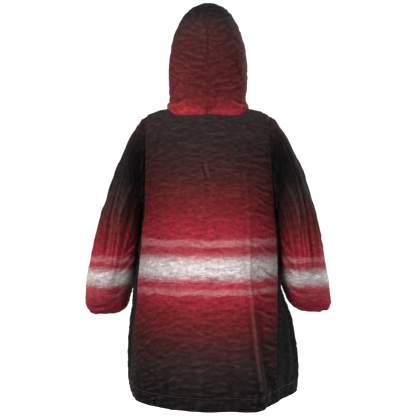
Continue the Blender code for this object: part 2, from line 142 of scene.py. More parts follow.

# Shallow creases, given one by one: both ends as metres to the wearer's left and up, how far the
# line bows sideways, its half width, and its height, a ridge if above 0 and a trough if below.
Crease = namedtuple("Crease", "left from_z to_left to_z bow width height")
BACK_CREASES = rows_of(Crease, (
    (0.003, -0.218, 0.017, -0.166, -0.001, 0.0046, -0.0046),
    (0.022, -0.152, 0.002, -0.154, 0.002, 0.004, -0.0018),
    (-0.044, -0.152, -0.068, -0.158, 0.003, 0.004, -0.0024),
    (-0.004, -0.187, -0.02, -0.188, 0.001, 0.004, -0.0018),
    (0.06, -0.19, 0.026, -0.195, 0.001, 0.004, -0.0014),
    (0.048, -0.262, 0.018, -0.268, 0.002, 0.0042, -0.0016),
    (-0.02, -0.29, -0.052, -0.284, -0.002, 0.0044, -0.0016),
    (0.094, -0.212, 0.066, -0.196, -0.003, 0.0044, -0.0014),
    (0.003, -0.216, -0.004, -0.33, 0.003, 0.008, -0.0012),
    (-0.108, -0.19, -0.119, -0.44, -0.003, 0.0062, 0.0018),
    (-0.116, -0.38, -0.127, -0.62, 0.003, 0.0058, 0.0034),
    (-0.126, -0.56, -0.156, -0.846, 0.006, 0.0056, 0.005),
    (-0.15, -0.58, -0.184, -0.83, 0.006, 0.012, -0.0085),
    (-0.14, -0.232, -0.188, -0.25, 0.004, 0.0045, -0.0042),
    (-0.152, -0.268, -0.196, -0.29, 0.003, 0.004, -0.0046),
    (-0.136, -0.304, -0.186, -0.322, -0.003, 0.0045, -0.0034),
    (-0.158, -0.338, -0.2, -0.362, 0.003, 0.004, -0.0049),
    (-0.142, -0.376, -0.178, -0.388, 0.002, 0.0038, -0.003),
    (-0.16, -0.404, -0.204, -0.43, 0.004, 0.0045, -0.0046),
    (-0.134, -0.436, -0.184, -0.462, 0.003, 0.004, -0.0034),
    (-0.162, -0.476, -0.204, -0.506, 0.003, 0.004, -0.0046),
    (-0.146, -0.54, -0.198, -0.56, 0.004, 0.005, -0.0057),
    (-0.152, -0.584, -0.202, -0.612, 0.003, 0.005, -0.0061),
    (-0.158, -0.632, -0.196, -0.65, -0.002, 0.0045, -0.0046),
    (-0.162, -0.676, -0.206, -0.7, 0.003, 0.005, -0.0049),
    (0.198, -0.3, 0.15, -0.322, 0.004, 0.005, -0.0016),
    (0.196, -0.372, 0.128, -0.384, 0.005, 0.006, -0.0014),
    (0.206, -0.5, 0.14, -0.548, 0.006, 0.007, -0.0016),
    (0.212, -0.586, 0.164, -0.622, 0.004, 0.006, -0.0018),
    (0.15, -0.15, 0.172, -0.262, 0.006, 0.008, -0.0018),
    (0.128, -0.24, 0.052, -0.226, 0.004, 0.006, -0.0012),
    (0.098, -0.56, 0.02, -0.572, 0.003, 0.005, -0.0014),
    (0.01, -0.604, -0.092, -0.594, -0.004, 0.0055, -0.0018),
    (0.136, -0.648, 0.034, -0.656, 0.004, 0.006, -0.0016),
    (-0.012, -0.69, -0.112, -0.706, 0.003, 0.005, -0.0014),
    (0.19, -0.7, 0.108, -0.728, 0.005, 0.0065, -0.0018),
    (0.07, -0.75, -0.046, -0.744, -0.004, 0.0055, -0.0014),
    (0.204, -0.77, 0.188, -0.846, 0.004, 0.009, -0.003),
    (0.112, -0.73, 0.118, -0.85, 0.003, 0.01, -0.0022),
    (0.03, -0.7, 0.026, -0.856, -0.003, 0.012, 0.0018),
    (-0.062, -0.72, -0.07, -0.856, 0.003, 0.011, -0.002),
    (-0.158, -0.8, -0.136, -0.852, 0.003, 0.006, -0.0026),
    (-0.18, -0.792, -0.166, -0.846, -0.002, 0.005, 0.0024),
    (0.12, -0.04, 0.154, -0.13, 0.008, 0.009, -0.002),
    (-0.112, -0.04, -0.158, -0.14, -0.008, 0.009, -0.002),
))
FRONT_CREASES = rows_of(Crease, (
    (0.108, -0.06, 0.15, -0.2, 0.01, 0.009, -0.0042),
    (-0.1, -0.056, -0.156, -0.19, -0.008, 0.009, -0.0045),
    (0.07, -0.1, 0.05, -0.33, 0.008, 0.009, 0.0039),
    (0.056, -0.15, 0.012, -0.26, 0.01, 0.007, -0.0033),
    (-0.064, -0.11, -0.04, -0.3, -0.009, 0.008, 0.0036),
    (-0.022, -0.118, -0.01, -0.22, 0.004, 0.006, -0.0033),
    (0.196, -0.29, 0.112, -0.352, 0.01, 0.0065, -0.0045),
    (0.198, -0.33, 0.134, -0.41, 0.008, 0.006, -0.0039),
    (-0.2, -0.296, -0.124, -0.346, -0.01, 0.0065, -0.0045),
    (-0.204, -0.346, -0.146, -0.398, -0.008, 0.0055, -0.0036),
    (0.12, -0.47, 0.03, -0.486, 0.006, 0.0065, -0.0033),
    (-0.03, -0.432, -0.13, -0.448, 0.006, 0.0065, -0.003),
    (-0.06, -0.56, -0.16, -0.542, -0.006, 0.006, -0.0033),
    (0.15, -0.59, 0.06, -0.606, 0.004, 0.0055, -0.003),
    (0.04, -0.54, 0.046, -0.85, 0.006, 0.012, 0.006),
    (-0.11, -0.64, -0.122, -0.846, -0.005, 0.011, -0.0054),
    (0.168, -0.66, 0.182, -0.842, 0.006, 0.01, -0.0051),
    (-0.02, -0.7, -0.012, -0.848, 0.004, 0.009, -0.0045),
    (0.098, -0.77, 0.11, -0.846, 0.003, 0.007, 0.0039),
    (-0.192, -0.7, -0.206, -0.84, -0.004, 0.008, 0.0039),
))

BODY_COLUMNS = 138
SHOULDER_STEPS = 36
CHEST_STEPS = 50
SKIRT_STEPS = 146
HEM_TURN_ROWS = 12
KNOTS = 61                    # random heights each way before a relief repeats

# A crease's shape: the share of its length at which it starts to fade, how bluntly it fades, and
# the lip beside it, as shares of the crease's height, of its width off it, and of its width.
CREASE_START = 0.08
CREASE_BLUNT = 0.8
LIP = (0.35, 1.9, 1.2)

# Wrinkles of worn fleece: length along and across, and height. The first only bends the others.
BENT = (0.045, 0.030, 0.004)
SHORT_WRINKLES = (0.021, 0.0075, 0.0010)
SHARP_WRINKLES = (0.033, 0.0110, 0.0016)
BROAD_WRINKLES = (0.070, 0.045, 0.0020)

# Strewn creases: between which lengths, bows, half widths and heights.
STREWN_LENGTHS = (0.018, 0.055)
STREWN_BOWS = (-0.004, 0.004)
STREWN_WIDTHS = (0.0030, 0.0058)
STREWN_HEIGHTS = (-0.0023, 0.0012)

# A seam's puckers: their length and reach, where they begin, and the width of the groove.
PUCKER_LENGTH = 0.0075
PUCKER_REACH = 0.016
PUCKER_START = 0.005
SEAM_WIDTH = 0.0035

# A stitched line's groove, and the roping of the hem below it.
GROOVE_DEPTH = 0.0008
GROOVE_WIDTH = 0.0028
ROPE_HEIGHT = 0.0007
ROPE_LENGTH = 0.011
ROPE_SLANT = 0.35


def along(table, column, place):
    """A column's value at places between a table's rows, on a smooth curve through them."""
    places = np.array([row.place for row in table], float)
    values = np.array([getattr(row, column) for row in table], float)
    slopes = np.gradient(values)
    slopes[1:-1] = (values[2:] - values[:-2]) / (places[2:] - places[:-2])
    slopes[0] = (values[1] - values[0]) / (places[1] - places[0])
    slopes[-1] = (values[-1] - values[-2]) / (places[-1] - places[-2])
    at = np.asarray(place, float)
    i = np.clip(np.searchsorted(places, at) - 1, 0, len(places) - 2)
    span = places[i + 1] - places[i]
    full = (at - places[i]) / span
    t = np.clip(full, 0.0, 1.0)
    start = (1 + 2 * t) * (1 - t) ** 2 * values[i] + t * (1 - t) ** 2 * span * slopes[i]
    end = t * t * (3 - 2 * t) * values[i + 1] - t * t * (1 - t) * span * slopes[i + 1]
    return start + end + (full - t) * span * np.where(full > 1, slopes[i + 1], slopes[i])


def ease(low, high, value):
    """0 below low, 1 above high, and a smooth rise between them."""
    t = np.clip((value - low) / (high - low), 0.0, 1.0)
    return t * t * (3 - 2 * t)


def hump(offset, spread):
    """Height of a soft fold at an angle off its crest, with angles taken round the circle."""
    offset = (offset + 180.0) % 360.0 - 180.0
    return np.exp(-(offset / spread) ** 2)


def points(x, y, z):
    """Three arrays as an array of points."""
    return np.stack(np.broadcast_arrays(x, y, z), axis=-1).astype(float)


def unit(vectors):
    """Vectors of length 1."""
    return vectors / np.maximum(np.linalg.norm(vectors, axis=-1, keepdims=True), 1e-12)


def neckline(share):
    """Neck seam from the centre back (0) over the left shoulder (0.5) to the centre front (1)."""
    turn = math.pi * np.asarray(share, float)
    forward = (1 - np.cos(turn)) / 2
    level = -NECK_BACK_DROP + (NECK_BACK_DROP - NECK_FRONT_DROP) * forward
    return points(NECK_HALF_WIDTH * np.sin(turn), NECK_HALF_DEPTH * np.cos(turn),
                  level + NECK_SIDE_RISE * np.sin(turn) ** NECK_SIDE_SHARPNESS)


def body_round(angle, drop):
    """Points of the body at angles from the centre back, before the shoulders."""
    turn = np.radians(angle)
    half_width = np.where(angle >= 0, along(BODY, "left", drop), along(BODY, "right", drop))
    depth = np.where(np.abs(angle) <= 90, along(BODY, "back", drop), along(BODY, "front", drop))
    place = points(half_width * np.sin(turn),
                   along(BODY, "middle", drop) + depth * np.cos(turn), -drop)
    outward = unit(points(np.sin(turn) / half_width, np.cos(turn) / depth, 0))
    for fold in BODY_FOLDS:
        grown = ease(fold.start, fold.full * FOLD_REACH, drop) / ease(0, FOLD_REACH, 1.0)
        grown = grown ** FOLD_GROWTH
        crest = fold.angle_top + (fold.angle_hem - fold.angle_top) * ease(0, fold.full, drop)
        height = fold.height * grown * hump(angle - crest, fold.spread)
        place = place + outward * height[..., None]
    return place


def skirt(angle_at, row):
    """Points between armpit and hem, where angle_at gives the angle at a drop."""
    share = (row - SHOULDER_ROWS - CHEST_ROWS) / SKIRT_ROWS
    hem = HEM_DROP + HEM_DIP * np.cos(np.radians(angle_at(np.full_like(share, HEM_DROP))))
    drop = ARMPIT_DROP + (hem - ARMPIT_DROP) * share
    return body_round(angle_at(drop), drop)


def panel(face, across, row):
    """Points of the back (face 1) or front (face -1) panel; across runs from -1 right to 1 left."""
    def angle_at(drop):
        if face > 0:
            seam = np.where(across >= 0, along(BODY, "back_left", drop),
                            along(BODY, "back_right", drop))
            return across * seam
        seam = np.where(across >= 0, along(BODY, "front_left", drop),
                        along(BODY, "front_right", drop))
        return np.copysign(180.0 - np.abs(across) * (180.0 - seam), across)

    reach = np.abs(across)
    share = 0.5 * np.minimum(reach / NECK_SHARE, 1.0)
    top = neckline(share if face > 0 else 1 - share)
    neck = neckline(0.5)
    t = np.clip((reach - NECK_SHARE) / (1 - NECK_SHARE), 0, 1)
    slope = t * t * SHOULDER_BEND + t * (1 - SHOULDER_BEND)
    over = (reach > NECK_SHARE)[..., None]
    shoulder = points(neck[0] + (SHOULDER_X - neck[0]) * t, 0 * t,
                      neck[2] - (SHOULDER_DROP + neck[2]) * slope)
    top = np.where(over, shoulder, top)
    top[..., 0] = np.copysign(top[..., 0], across)
    turn = math.pi / 2 * np.minimum(row / SHOULDER_ROWS, 1.0)
    drop = -top[..., 2] + SHOULDER_ROUND * (1 - np.cos(turn))
    down = np.maximum(row - SHOULDER_ROWS, 0) / CHEST_ROWS
    drop = drop + (ARMPIT_DROP - drop) * down
    target = body_round(angle_at(drop), drop)
    high = points(top[..., 0] + (target[..., 0] - top[..., 0]) * (1 - np.cos(turn)),
                  top[..., 1] + (target[..., 1] - top[..., 1]) * np.sin(turn), -drop)
    low = skirt(angle_at, row)
    return np.where((row > SHOULDER_ROWS + CHEST_ROWS)[..., None], low, high)


def lengths(net):
    """Metres along the rows and down the columns of a net, from its first column and row."""
    across = np.linalg.norm(np.diff(net, axis=1), axis=2).cumsum(axis=1)
    down = np.linalg.norm(np.diff(net, axis=0), axis=2).cumsum(axis=0)
    return np.pad(across, ((0, 0), (1, 0))), np.pad(down, ((1, 0), (0, 0)))


def facing(net, centre, closed=False):
    """Unit normals of a net, on the side away from the centre."""
    wrapped = np.concatenate([net[:, -2:-1], net, net[:, 1:2]], axis=1) if closed else net
    along_row = np.gradient(wrapped, axis=1)
    down_column = np.gradient(wrapped, axis=0)
    normals = unit(np.cross(down_column, along_row))
    if closed:
        normals = normals[:, 1:-1]
    if (normals * (net - centre)).sum() < 0:
        normals = -normals
    return normals


def square_at_seams(normals, net):
    """Turns normals at the side seams straight out, so that both pieces of a seam agree."""
    edges = net[:, [0, -1]]
    below = (edges[..., 2] < -ARMPIT_DROP)[..., None]
    normals[:, [0, -1]] = np.where(below, unit(edges * (1.0, 1.0, 0.0)), normals[:, [0, -1]])
    return normals


def rumple(u, v, long, short, seed, around=0):
    """Smooth uneven relief from -1 to 1, in patches of these lengths; around closes a tube."""
    knots = np.random.default_rng(seed).uniform(-1, 1, (KNOTS, KNOTS))
    i = np.floor(u / long).astype(int)
    j = np.floor(v / short).astype(int)
    s = ease(0, 1, u / long - i)
    t = ease(0, 1, v / short - j)
    wide = around or KNOTS
    near, far = i % wide, (i + 1) % wide
    high, low = j % KNOTS, (j + 1) % KNOTS
    upper = knots[near, high] * (1 - s) + knots[far, high] * s
    lower = knots[near, low] * (1 - s) + knots[far, low] * s
    return upper * (1 - t) + lower * t


def creased(u, v, creases):
    """Height of the listed creases: each a trough or ridge with a lip, fading at its ends."""
    height = np.zeros_like(u)
    lip_height, lip_off, lip_wide = LIP
    for crease in creases:
        run_u = crease.to_left - crease.left
        run_v = crease.to_z - crease.from_z
        long = math.hypot(run_u, run_v)
        run_u /= long
        run_v /= long
        t = ((u - crease.left) * run_u + (v - crease.from_z) * run_v) / long
        off = (v - crease.from_z) * run_u - (u - crease.left) * run_v
        inside = np.clip(t, 0, 1)
        off = off - crease.bow * np.sin(math.pi * inside)
        reach = CREASE_START + (1 - 2 * CREASE_START) * t
        fade = np.sin(math.pi * np.clip(reach, 0, 1)) ** CREASE_BLUNT
        line = np.exp(-(off / crease.width) ** 2)
        lip = lip_height * np.exp(-((off - lip_off * crease.width) / (lip_wide * crease.width)) ** 2)
        height += crease.height * fade * (line - lip)
    return height


def crumple(u, v, seed):
    """Fine unevenness of brushed fleece that has been folded and worn: short level wrinkles."""
    bent = v + BENT[2] * rumple(u, v, *BENT[:2], seed)
    short = rumple(u, bent, *SHORT_WRINKLES[:2], seed + 1)
    sharp = 0.5 - np.abs(rumple(u, bent, *SHARP_WRINKLES[:2], seed + 2))
    broad = rumple(u, v, *BROAD_WRINKLES[:2], seed + 3)
    return SHORT_WRINKLES[2] * short + SHARP_WRINKLES[2] * sharp + BROAD_WRINKLES[2] * broad


def scattered(low, high, count, seed, slope=0.25):
    """Short shallow creases, strewn unevenly over a stretch of cloth and lying nearly level."""
    chance = np.random.default_rng(seed)
    strewn = []
    for _ in range(count):
        left, up = chance.uniform(low, high)
        long = chance.uniform(*STREWN_LENGTHS)
        rise = long * chance.normal(0.0, slope)
        strewn.append(Crease(left, up, left + long, up + rise, chance.uniform(*STREWN_BOWS),
                             chance.uniform(*STREWN_WIDTHS), chance.uniform(*STREWN_HEIGHTS)))
    return tuple(strewn)


def standing_out(relief):
    """How far each point of a relief stands above the cloth a few steps to its four sides."""
    rows, columns = relief.shape
    wide = np.pad(relief, CREST_REACH, mode="edge")
    middle_rows = wide[CREST_REACH:CREST_REACH + rows]
    middle_columns = wide[:, CREST_REACH:CREST_REACH + columns]
    beside = middle_rows[:, :columns] + middle_rows[:, 2 * CREST_REACH:]
    above_below = middle_columns[:rows] + middle_columns[2 * CREST_REACH:]
    return relief - (beside + above_below) / 4


def at_seam(distance, run, seed, sink=SEAM_SINK):
    """Cloth pulled in at a seam: it sinks, and puckers in short uneven ripples beside it."""
    ripple = rumple(run, 0 * run, PUCKER_LENGTH, 1.0, seed)
    ripple = ripple * np.exp(-(distance / PUCKER_REACH) ** 2) * ease(0.0, PUCKER_START, distance)
    return SEAM_PUCKER * ripple - sink * np.exp(-(distance / SEAM_WIDTH) ** 2)


def seam_allowance(net, normals, sides="LRT"):
    """The net with its edges turned in against the next piece, as a seam's allowance lies."""
    def flange(edge, beside, normal):
        over = unit(edge - beside) * SEAM_LAP
        return [edge + over - normal * depth for depth in ALLOWANCE_DEPTHS]

    if "T" in sides:
        folded = flange(net[0], net[1], normals[0])[::-1]
        net = np.concatenate([folded, net])
        normals = np.concatenate([normals[:1]] * len(folded) + [normals])
    if "L" in sides:
        folded = flange(net[:, 0], net[:, 1], normals[:, 0])[::-1]
        net = np.concatenate([np.stack(folded, axis=1), net], axis=1)
        normals = np.concatenate([normals[:, :1]] * len(folded) + [normals], axis=1)
    if "R" in sides:
        folded = flange(net[:, -1], net[:, -2], normals[:, -1])
        net = np.concatenate([net, np.stack(folded, axis=1)], axis=1)
        normals = np.concatenate([normals] + [normals[:, -1:]] * len(folded), axis=1)
    return net, normals


def turned_in(net, normals, rows):
    """The net with its last rows folded to the inside, as a hem is turned up."""
    down = unit(net[-1] - net[-2])
    arc = [net[-1] + FOLD_HALF * (down * math.sin(a) - normals[-1] * (1 - math.cos(a)))
           for a in np.linspace(0, math.pi, 7)[1:-1]]
    inside = (net - 2 * FOLD_HALF * normals)[-rows:][::-1]
    return np.concatenate([net, arc, inside])


def cut_cloth(name, net, centre, finishes, closed=False, thickness=CLOTH, relief=None, top=0):
    """A piece of cloth on a net of points round a centre, measured in metres by its UV map.

    Its crest attribute tells the finish where a relief stands out or sinks, for painted shade in the
    troughs and a painted highlight on the crests; the relief covers the net from this many rows below
    the top and is carried on over the allowances. The hidden side is thinner at the sides of the
    neck, where it would pierce the sharp bend.
    """
    rows, columns = net.shape[:2]
    crest = np.zeros((rows, columns))
    if relief is not None:
        side = (columns - relief.shape[1]) // 2
        below = rows - top - relief.shape[0]
        crest = np.pad(standing_out(relief), ((top, below), (side, side)), mode="edge")
    across, down = lengths(net)
    spread = across - across[:, (columns - 1) // 2][:, None]
    mesh = bmesh.new()
    bmesh.ops.create_grid(mesh, x_segments=columns - 1, y_segments=rows - 1)
    mesh.verts.ensure_lookup_table()
    # The crest height, which the finish turns into painted shade in the troughs and a painted
    # highlight on the crests.
    worn = mesh.verts.layers.float.new("crest")
    thick = mesh.verts.layers.deform.verify()
    from_neck = np.linalg.norm(np.abs(net) * (1, 0, 0) + net * (0, 1, 1) - neckline(0.5), axis=-1)
    whole = ease(*NECK_THIN, from_neck)
    for vert, place, height, full in zip(mesh.verts, net.reshape(-1, 3), crest.reshape(-1),
                                         whole.reshape(-1)):
        vert.co = place
        vert[worn] = height
        vert[thick][0] = full
    measure = mesh.loops.layers.uv.new("cloth")
    flat = np.stack([spread, down], axis=-1).reshape(-1, 2)
    for face in mesh.faces:
        face.smooth = True
        for loop in face.loops:
            loop[measure].uv = flat[loop.vert.index]
    mesh.normal_update()
    mesh.faces.ensure_lookup_table()
    middle = mesh.faces[(rows // 3) * (columns - 1) + columns // 2]
    if middle.normal.dot(middle.calc_center_median() - Vector(centre)) < 0:
        bmesh.ops.reverse_faces(mesh, faces=mesh.faces)
    if closed:
        bmesh.ops.remove_doubles(mesh, verts=mesh.verts, dist=1e-6)
    data = bpy.data.meshes.new(name)
    mesh.to_mesh(data)
    mesh.free()
    piece = bpy.data.objects.new(name, data)
    bpy.context.scene.collection.objects.link(piece)
    for finish in finishes:
        data.materials.append(finish)
    wall = piece.modifiers.new("wall", "SOLIDIFY")
    wall.thickness = thickness
    wall.offset = -1.0
    wall.thickness_clamp = WALL_CLAMP
    wall.vertex_group = piece.vertex_groups.new(name="wall").name
    wall.thickness_vertex_group = NECK_WALL
    wall.material_offset = 1
    return piece


def add_node(tree, kind, settings=(), **inputs):
    """A shader node with its settings and its inputs, each a value or another node's output."""
    node = tree.nodes.new(kind)
    for key, value in dict(settings).items():
        setattr(node, key, value)
    for key, value in inputs.items():
        slot = node.inputs[int(key[1:])] if key[0] == "i" and key[1:].isdigit() else node.inputs[key]
        if isinstance(value, bpy.types.NodeSocket):
            tree.links.new(value, slot)
        else:
            slot.default_value = value
    return node


CHARCOAL = (0.0090, 0.0080, 0.0082)
ASH = (0.0250, 0.0170, 0.0175)
SMOKED_OXBLOOD = (0.0305, 0.0170, 0.0175)
OXBLOOD = (0.070, 0.0155, 0.0165)
GARNET = (0.094, 0.0150, 0.0165)
WINE = (0.125, 0.0155, 0.0180)
MADDER = (0.197, 0.0175, 0.0205)
CRIMSON = (0.385, 0.0220, 0.0410)
ROSE = (0.540, 0.0750, 0.1050)
PALE_ROSE = (0.640, 0.210, 0.230)
BONE = (0.780, 0.720, 0.710)
UNDYED = (0.560, 0.520, 0.460)
CREST_HIGHLIGHT = (0.190, 0.100, 0.103)  # painted highlight on a crest
# Painted highlight on a crest of the charcoal fleece.
CREST_HIGHLIGHT_CHARCOAL = (0.060, 0.052, 0.053)

# Levels of the dye on the body, in metres below the neck, and the pale resist bands.
BODY_GROUND = (
    (-0.900, CHARCOAL), (-0.810, CHARCOAL), (-0.745, SMOKED_OXBLOOD), (-0.675, OXBLOOD),
    (-0.605, MADDER), (-0.555, CRIMSON), (-0.480, ROSE), (-0.365, CRIMSON),
    (-0.295, MADDER), (-0.215, OXBLOOD), (-0.120, SMOKED_OXBLOOD), (-0.040, ASH),
)
BODY_BANDS = ((-0.398, 0.007, 0.75), (-0.470, 0.021, 0.97), (-0.538, 0.006, 0.70))
BAND_CORE = 0.4               # shares of a band's half: the palest part, and where it has faded
BAND_FADE = 2.2
DYE_LOW = -0.90
DYE_HIGH = 0.35


def new_finish(name):
    """A new material, its node tree and its Object coordinates."""
    finish = bpy.data.materials.new(name)
    finish.use_nodes = True
    tree = finish.node_tree
    return finish, tree, add_node(tree, "ShaderNodeTexCoord").outputs["Object"]


def noise(tree, at, scale, detail=2.0, **more):
    """Uneven values from 0 to 1."""
    return add_node(tree, "ShaderNodeTexNoise", i0=at, Scale=scale, Detail=detail, **more).outputs[0]


def maths(tree, operation, *values):
    """The result of one operation on these values."""
    numbered = {"i%d" % i: value for i, value in enumerate(values)}
    return add_node(tree, "ShaderNodeMath", {"operation": operation}, **numbered).outputs[0]


def shaded(tree, value, low, high, dark, light):
    """A value between low and high as a shade between dark and light."""
    return add_node(tree, "ShaderNodeMapRange", Value=value, i1=low, i2=high, i3=dark,
                    i4=light).outputs[0]


def tinted(tree, colour, shade):
    """A colour made darker or lighter by a shade."""
    return add_node(tree, "ShaderNodeVectorMath", {"operation": "SCALE"}, i0=colour,
                    Scale=shade).outputs[0]


def dress(tree, colour, looks, bump=None):
    """Joins a colour and a bump to a material's surface and sets how it shines."""
    surface = tree.nodes["Principled BSDF"]
    tree.links.new(colour, surface.inputs["Base Color"])
    if bump is not None:
        tree.links.new(bump.outputs[0], surface.inputs["Normal"])
    for key, value in looks.items():
        surface.inputs[key].default_value = value


def dyed_fleece(name, ground, bands, shaded_from=0.0, shaded_to=0.0, shaded_by=0.0,
                shaded_top=-0.01, shaded_below=-0.15, highlight_to=CREST_HIGHLIGHT):
    """Brushed fleece, dip-dyed in levels with soft pale bands, with nap, wrinkles and sheen, and with
    painted shade in the hollows of its wrinkles and of its relief, and a painted highlight on its
    crests.

    The colour can also darken sideways (lighten, where shaded_by is below 0), between two distances
    from the centre line, starting at a height and in full below another; on the sleeves this is
    painted shade where they hang against the body.
    """
    finish, tree, place = new_finish(name)
    split = add_node(tree, "ShaderNodeSeparateXYZ", Vector=place).outputs
    height = split["Z"]
    brushed = add_node(tree, "ShaderNodeMapping", i0=place, Scale=(38.0, 38.0, 300.0)).outputs[0]
    streak = noise(tree, brushed, 1.0, 4.0, Roughness=0.6)
    blotch = noise(tree, place, 17.0, 3.0)
    nap = noise(tree, place, 1100.0)

    def level(streak_reach, blotch_reach):
        streaked = maths(tree, "MULTIPLY_ADD", streak, streak_reach, height)
        both = maths(tree, "MULTIPLY_ADD", blotch, blotch_reach, streaked)
        middle = (streak_reach + blotch_reach) / 2
        return add_node(tree, "ShaderNodeMapRange", {"clamp": False}, Value=both,
                        i1=DYE_LOW + middle, i2=DYE_HIGH + middle).outputs[0]

    def ramp(stops, at, how):
        node = add_node(tree, "ShaderNodeValToRGB", Fac=at)
        node.color_ramp.interpolation = how
        shades = node.color_ramp.elements
        while len(shades) < len(stops):
            shades.new(0.5)
        for shade, (z, colour) in zip(shades, stops):
            shade.position = (z - DYE_LOW) / (DYE_HIGH - DYE_LOW)
        for shade, (z, colour) in zip(shades, stops):
            shade.color = (*colour, 1.0)
        return node.outputs["Color"]

    dye = ramp(ground, level(0.070, 0.050), "LINEAR")
    stops = []
    for z, half, pale in sorted(bands):
        stops += [(z + share * half, (value,) * 3) for share, value in (
            (-BAND_FADE, 0), (-BAND_CORE, pale), (BAND_CORE, pale), (BAND_FADE, 0))]
    if bands:
        mask = ramp(stops, level(0.022, 0.012), "EASE")
        broad = max(bands, key=lambda band: band[1])
        reach = 2.4 * broad[1]
        pale = ramp(((DYE_LOW, PALE_ROSE), (broad[0] - reach, BONE), (broad[0] + reach, PALE_ROSE)),
                    level(0.0, 0.0), "CONSTANT")
        dye = add_node(tree, "ShaderNodeMix", {"data_type": "RGBA"}, i0=mask, i6=dye,
                       i7=pale).outputs[2]
    level_wrinkles = add_node(tree, "ShaderNodeMapping", i0=place, Scale=(52.0, 52.0, 135.0))
    wrinkle = noise(tree, level_wrinkles.outputs[0], 1.0, Distortion=0.6)
    mottle = noise(tree, place, 120.0, 3.0)
    # Darker sideways from the centre line below a height (lighter where shaded_by is below 0); on the
    # sleeves this is painted shade where they hang against the body.
    out = maths(tree, "ABSOLUTE", split["X"])
    sideways = shaded(tree, out, shaded_from, shaded_to or 1.0, 0.0, -shaded_by)
    below = shaded(tree, height, shaded_top, shaded_below, 0.0, 1.0)
    tone = maths(tree, "MULTIPLY_ADD", sideways, below, 1.0)
    # The wrinkle field also darkens the colour in the hollows of the bumped wrinkles and lightens
    # their ridges: painted shade and highlight. The other fields are uneven tone of the brushed nap.
    for field, low, dark, light in ((streak, 0.25, 0.86, 1.12), (nap, 0.30, 0.86, 1.12),
                                    (wrinkle, 0.34, 0.82, 1.16), (mottle, 0.34, 0.82, 1.16)):
        tone = maths(tree, "MULTIPLY", tone, shaded(tree, field, low, 1.0 - low, dark, light))
    # Painted shade and highlight: darker where the relief sinks, lighter where it stands out, and
    # paler still on the crests.
    crest = add_node(tree, "ShaderNodeAttribute", {"attribute_name": "crest"}).outputs["Fac"]
    crest_shade = shaded(tree, crest, -CREST_HEIGHT, CREST_HEIGHT, 0.56, 1.36)
    colour = tinted(tree, dye, maths(tree, "MULTIPLY", tone, crest_shade))
    crest_highlight = shaded(tree, crest, 0.0, CREST_HEIGHT, 0.0, 0.30)
    shown = add_node(tree, "ShaderNodeMix", {"data_type": "RGBA"}, i0=crest_highlight, i6=colour,
                     i7=(*highlight_to, 1.0)).outputs[2]
    fibres = maths(tree, "MULTIPLY_ADD", nap, 0.35, streak)
    napped = add_node(tree, "ShaderNodeBump", Height=fibres, Strength=0.5, Distance=0.0009)
    bump = add_node(tree, "ShaderNodeBump", Height=wrinkle, Strength=0.7, Distance=0.0040,
                    Normal=napped.outputs[0])
    dress(tree, shown, {"Roughness": 0.92, "Specular IOR Level": 0.05, "Sheen Weight": 0.01,
                        "Sheen Roughness": 0.5}, bump)
    return finish


def reverse_fleece(name):
    """The undyed inner face of the fleece, looser and fluffier than the outer one."""
    finish, tree, place = new_finish(name)
    tuft = noise(tree, place, 210.0, 4.0, Roughness=0.65)
    bump = add_node(tree, "ShaderNodeBump", Height=tuft, Strength=0.8, Distance=0.002)
    dress(tree, tinted(tree, UNDYED, shaded(tree, tuft, 0.3, 0.7, 0.70, 1.12)),
          {"Roughness": 0.95, "Specular IOR Level": 0.2, "Sheen Weight": 0.15}, bump)
    return finish


body_fleece = dyed_fleece("fleece_body", BODY_GROUND, BODY_BANDS, 0.05, 0.20, 0.42)
inside_fleece = reverse_fleece("fleece_reverse")


def body_rows(first_row):
    """Fractional rows of a body piece, fine and evenly spaced, down to where the hem rounds."""
    shoulder = np.linspace(first_row, SHOULDER_ROWS, SHOULDER_STEPS + 1)[:-1]
    chest = np.linspace(SHOULDER_ROWS, SHOULDER_ROWS + CHEST_ROWS, CHEST_STEPS + 1)[:-1]
    return np.concatenate([shoulder, chest, body_skirt_rows()])


def body_skirt_rows():
    """Rows from the armpit to the hem's rounding."""
    last = SHOULDER_ROWS + CHEST_ROWS + SKIRT_ROWS - HEM_TRIM
    return np.linspace(SHOULDER_ROWS + CHEST_ROWS, last, SKIRT_STEPS + 1)


def hem_relief(from_hem, u, seed):
    """The hem's stitched line as a shallow groove, with the band roping a little below it."""
    groove = -GROOVE_DEPTH * np.exp(-((from_hem - HEM_BAND) / GROOVE_WIDTH) ** 2)
    roped = ROPE_HEIGHT * rumple(u + ROPE_SLANT * from_hem, 0 * u, ROPE_LENGTH, 1.0, seed)
    return groove + roped * ease(HEM_BAND, 0.6 * HEM_BAND, from_hem)


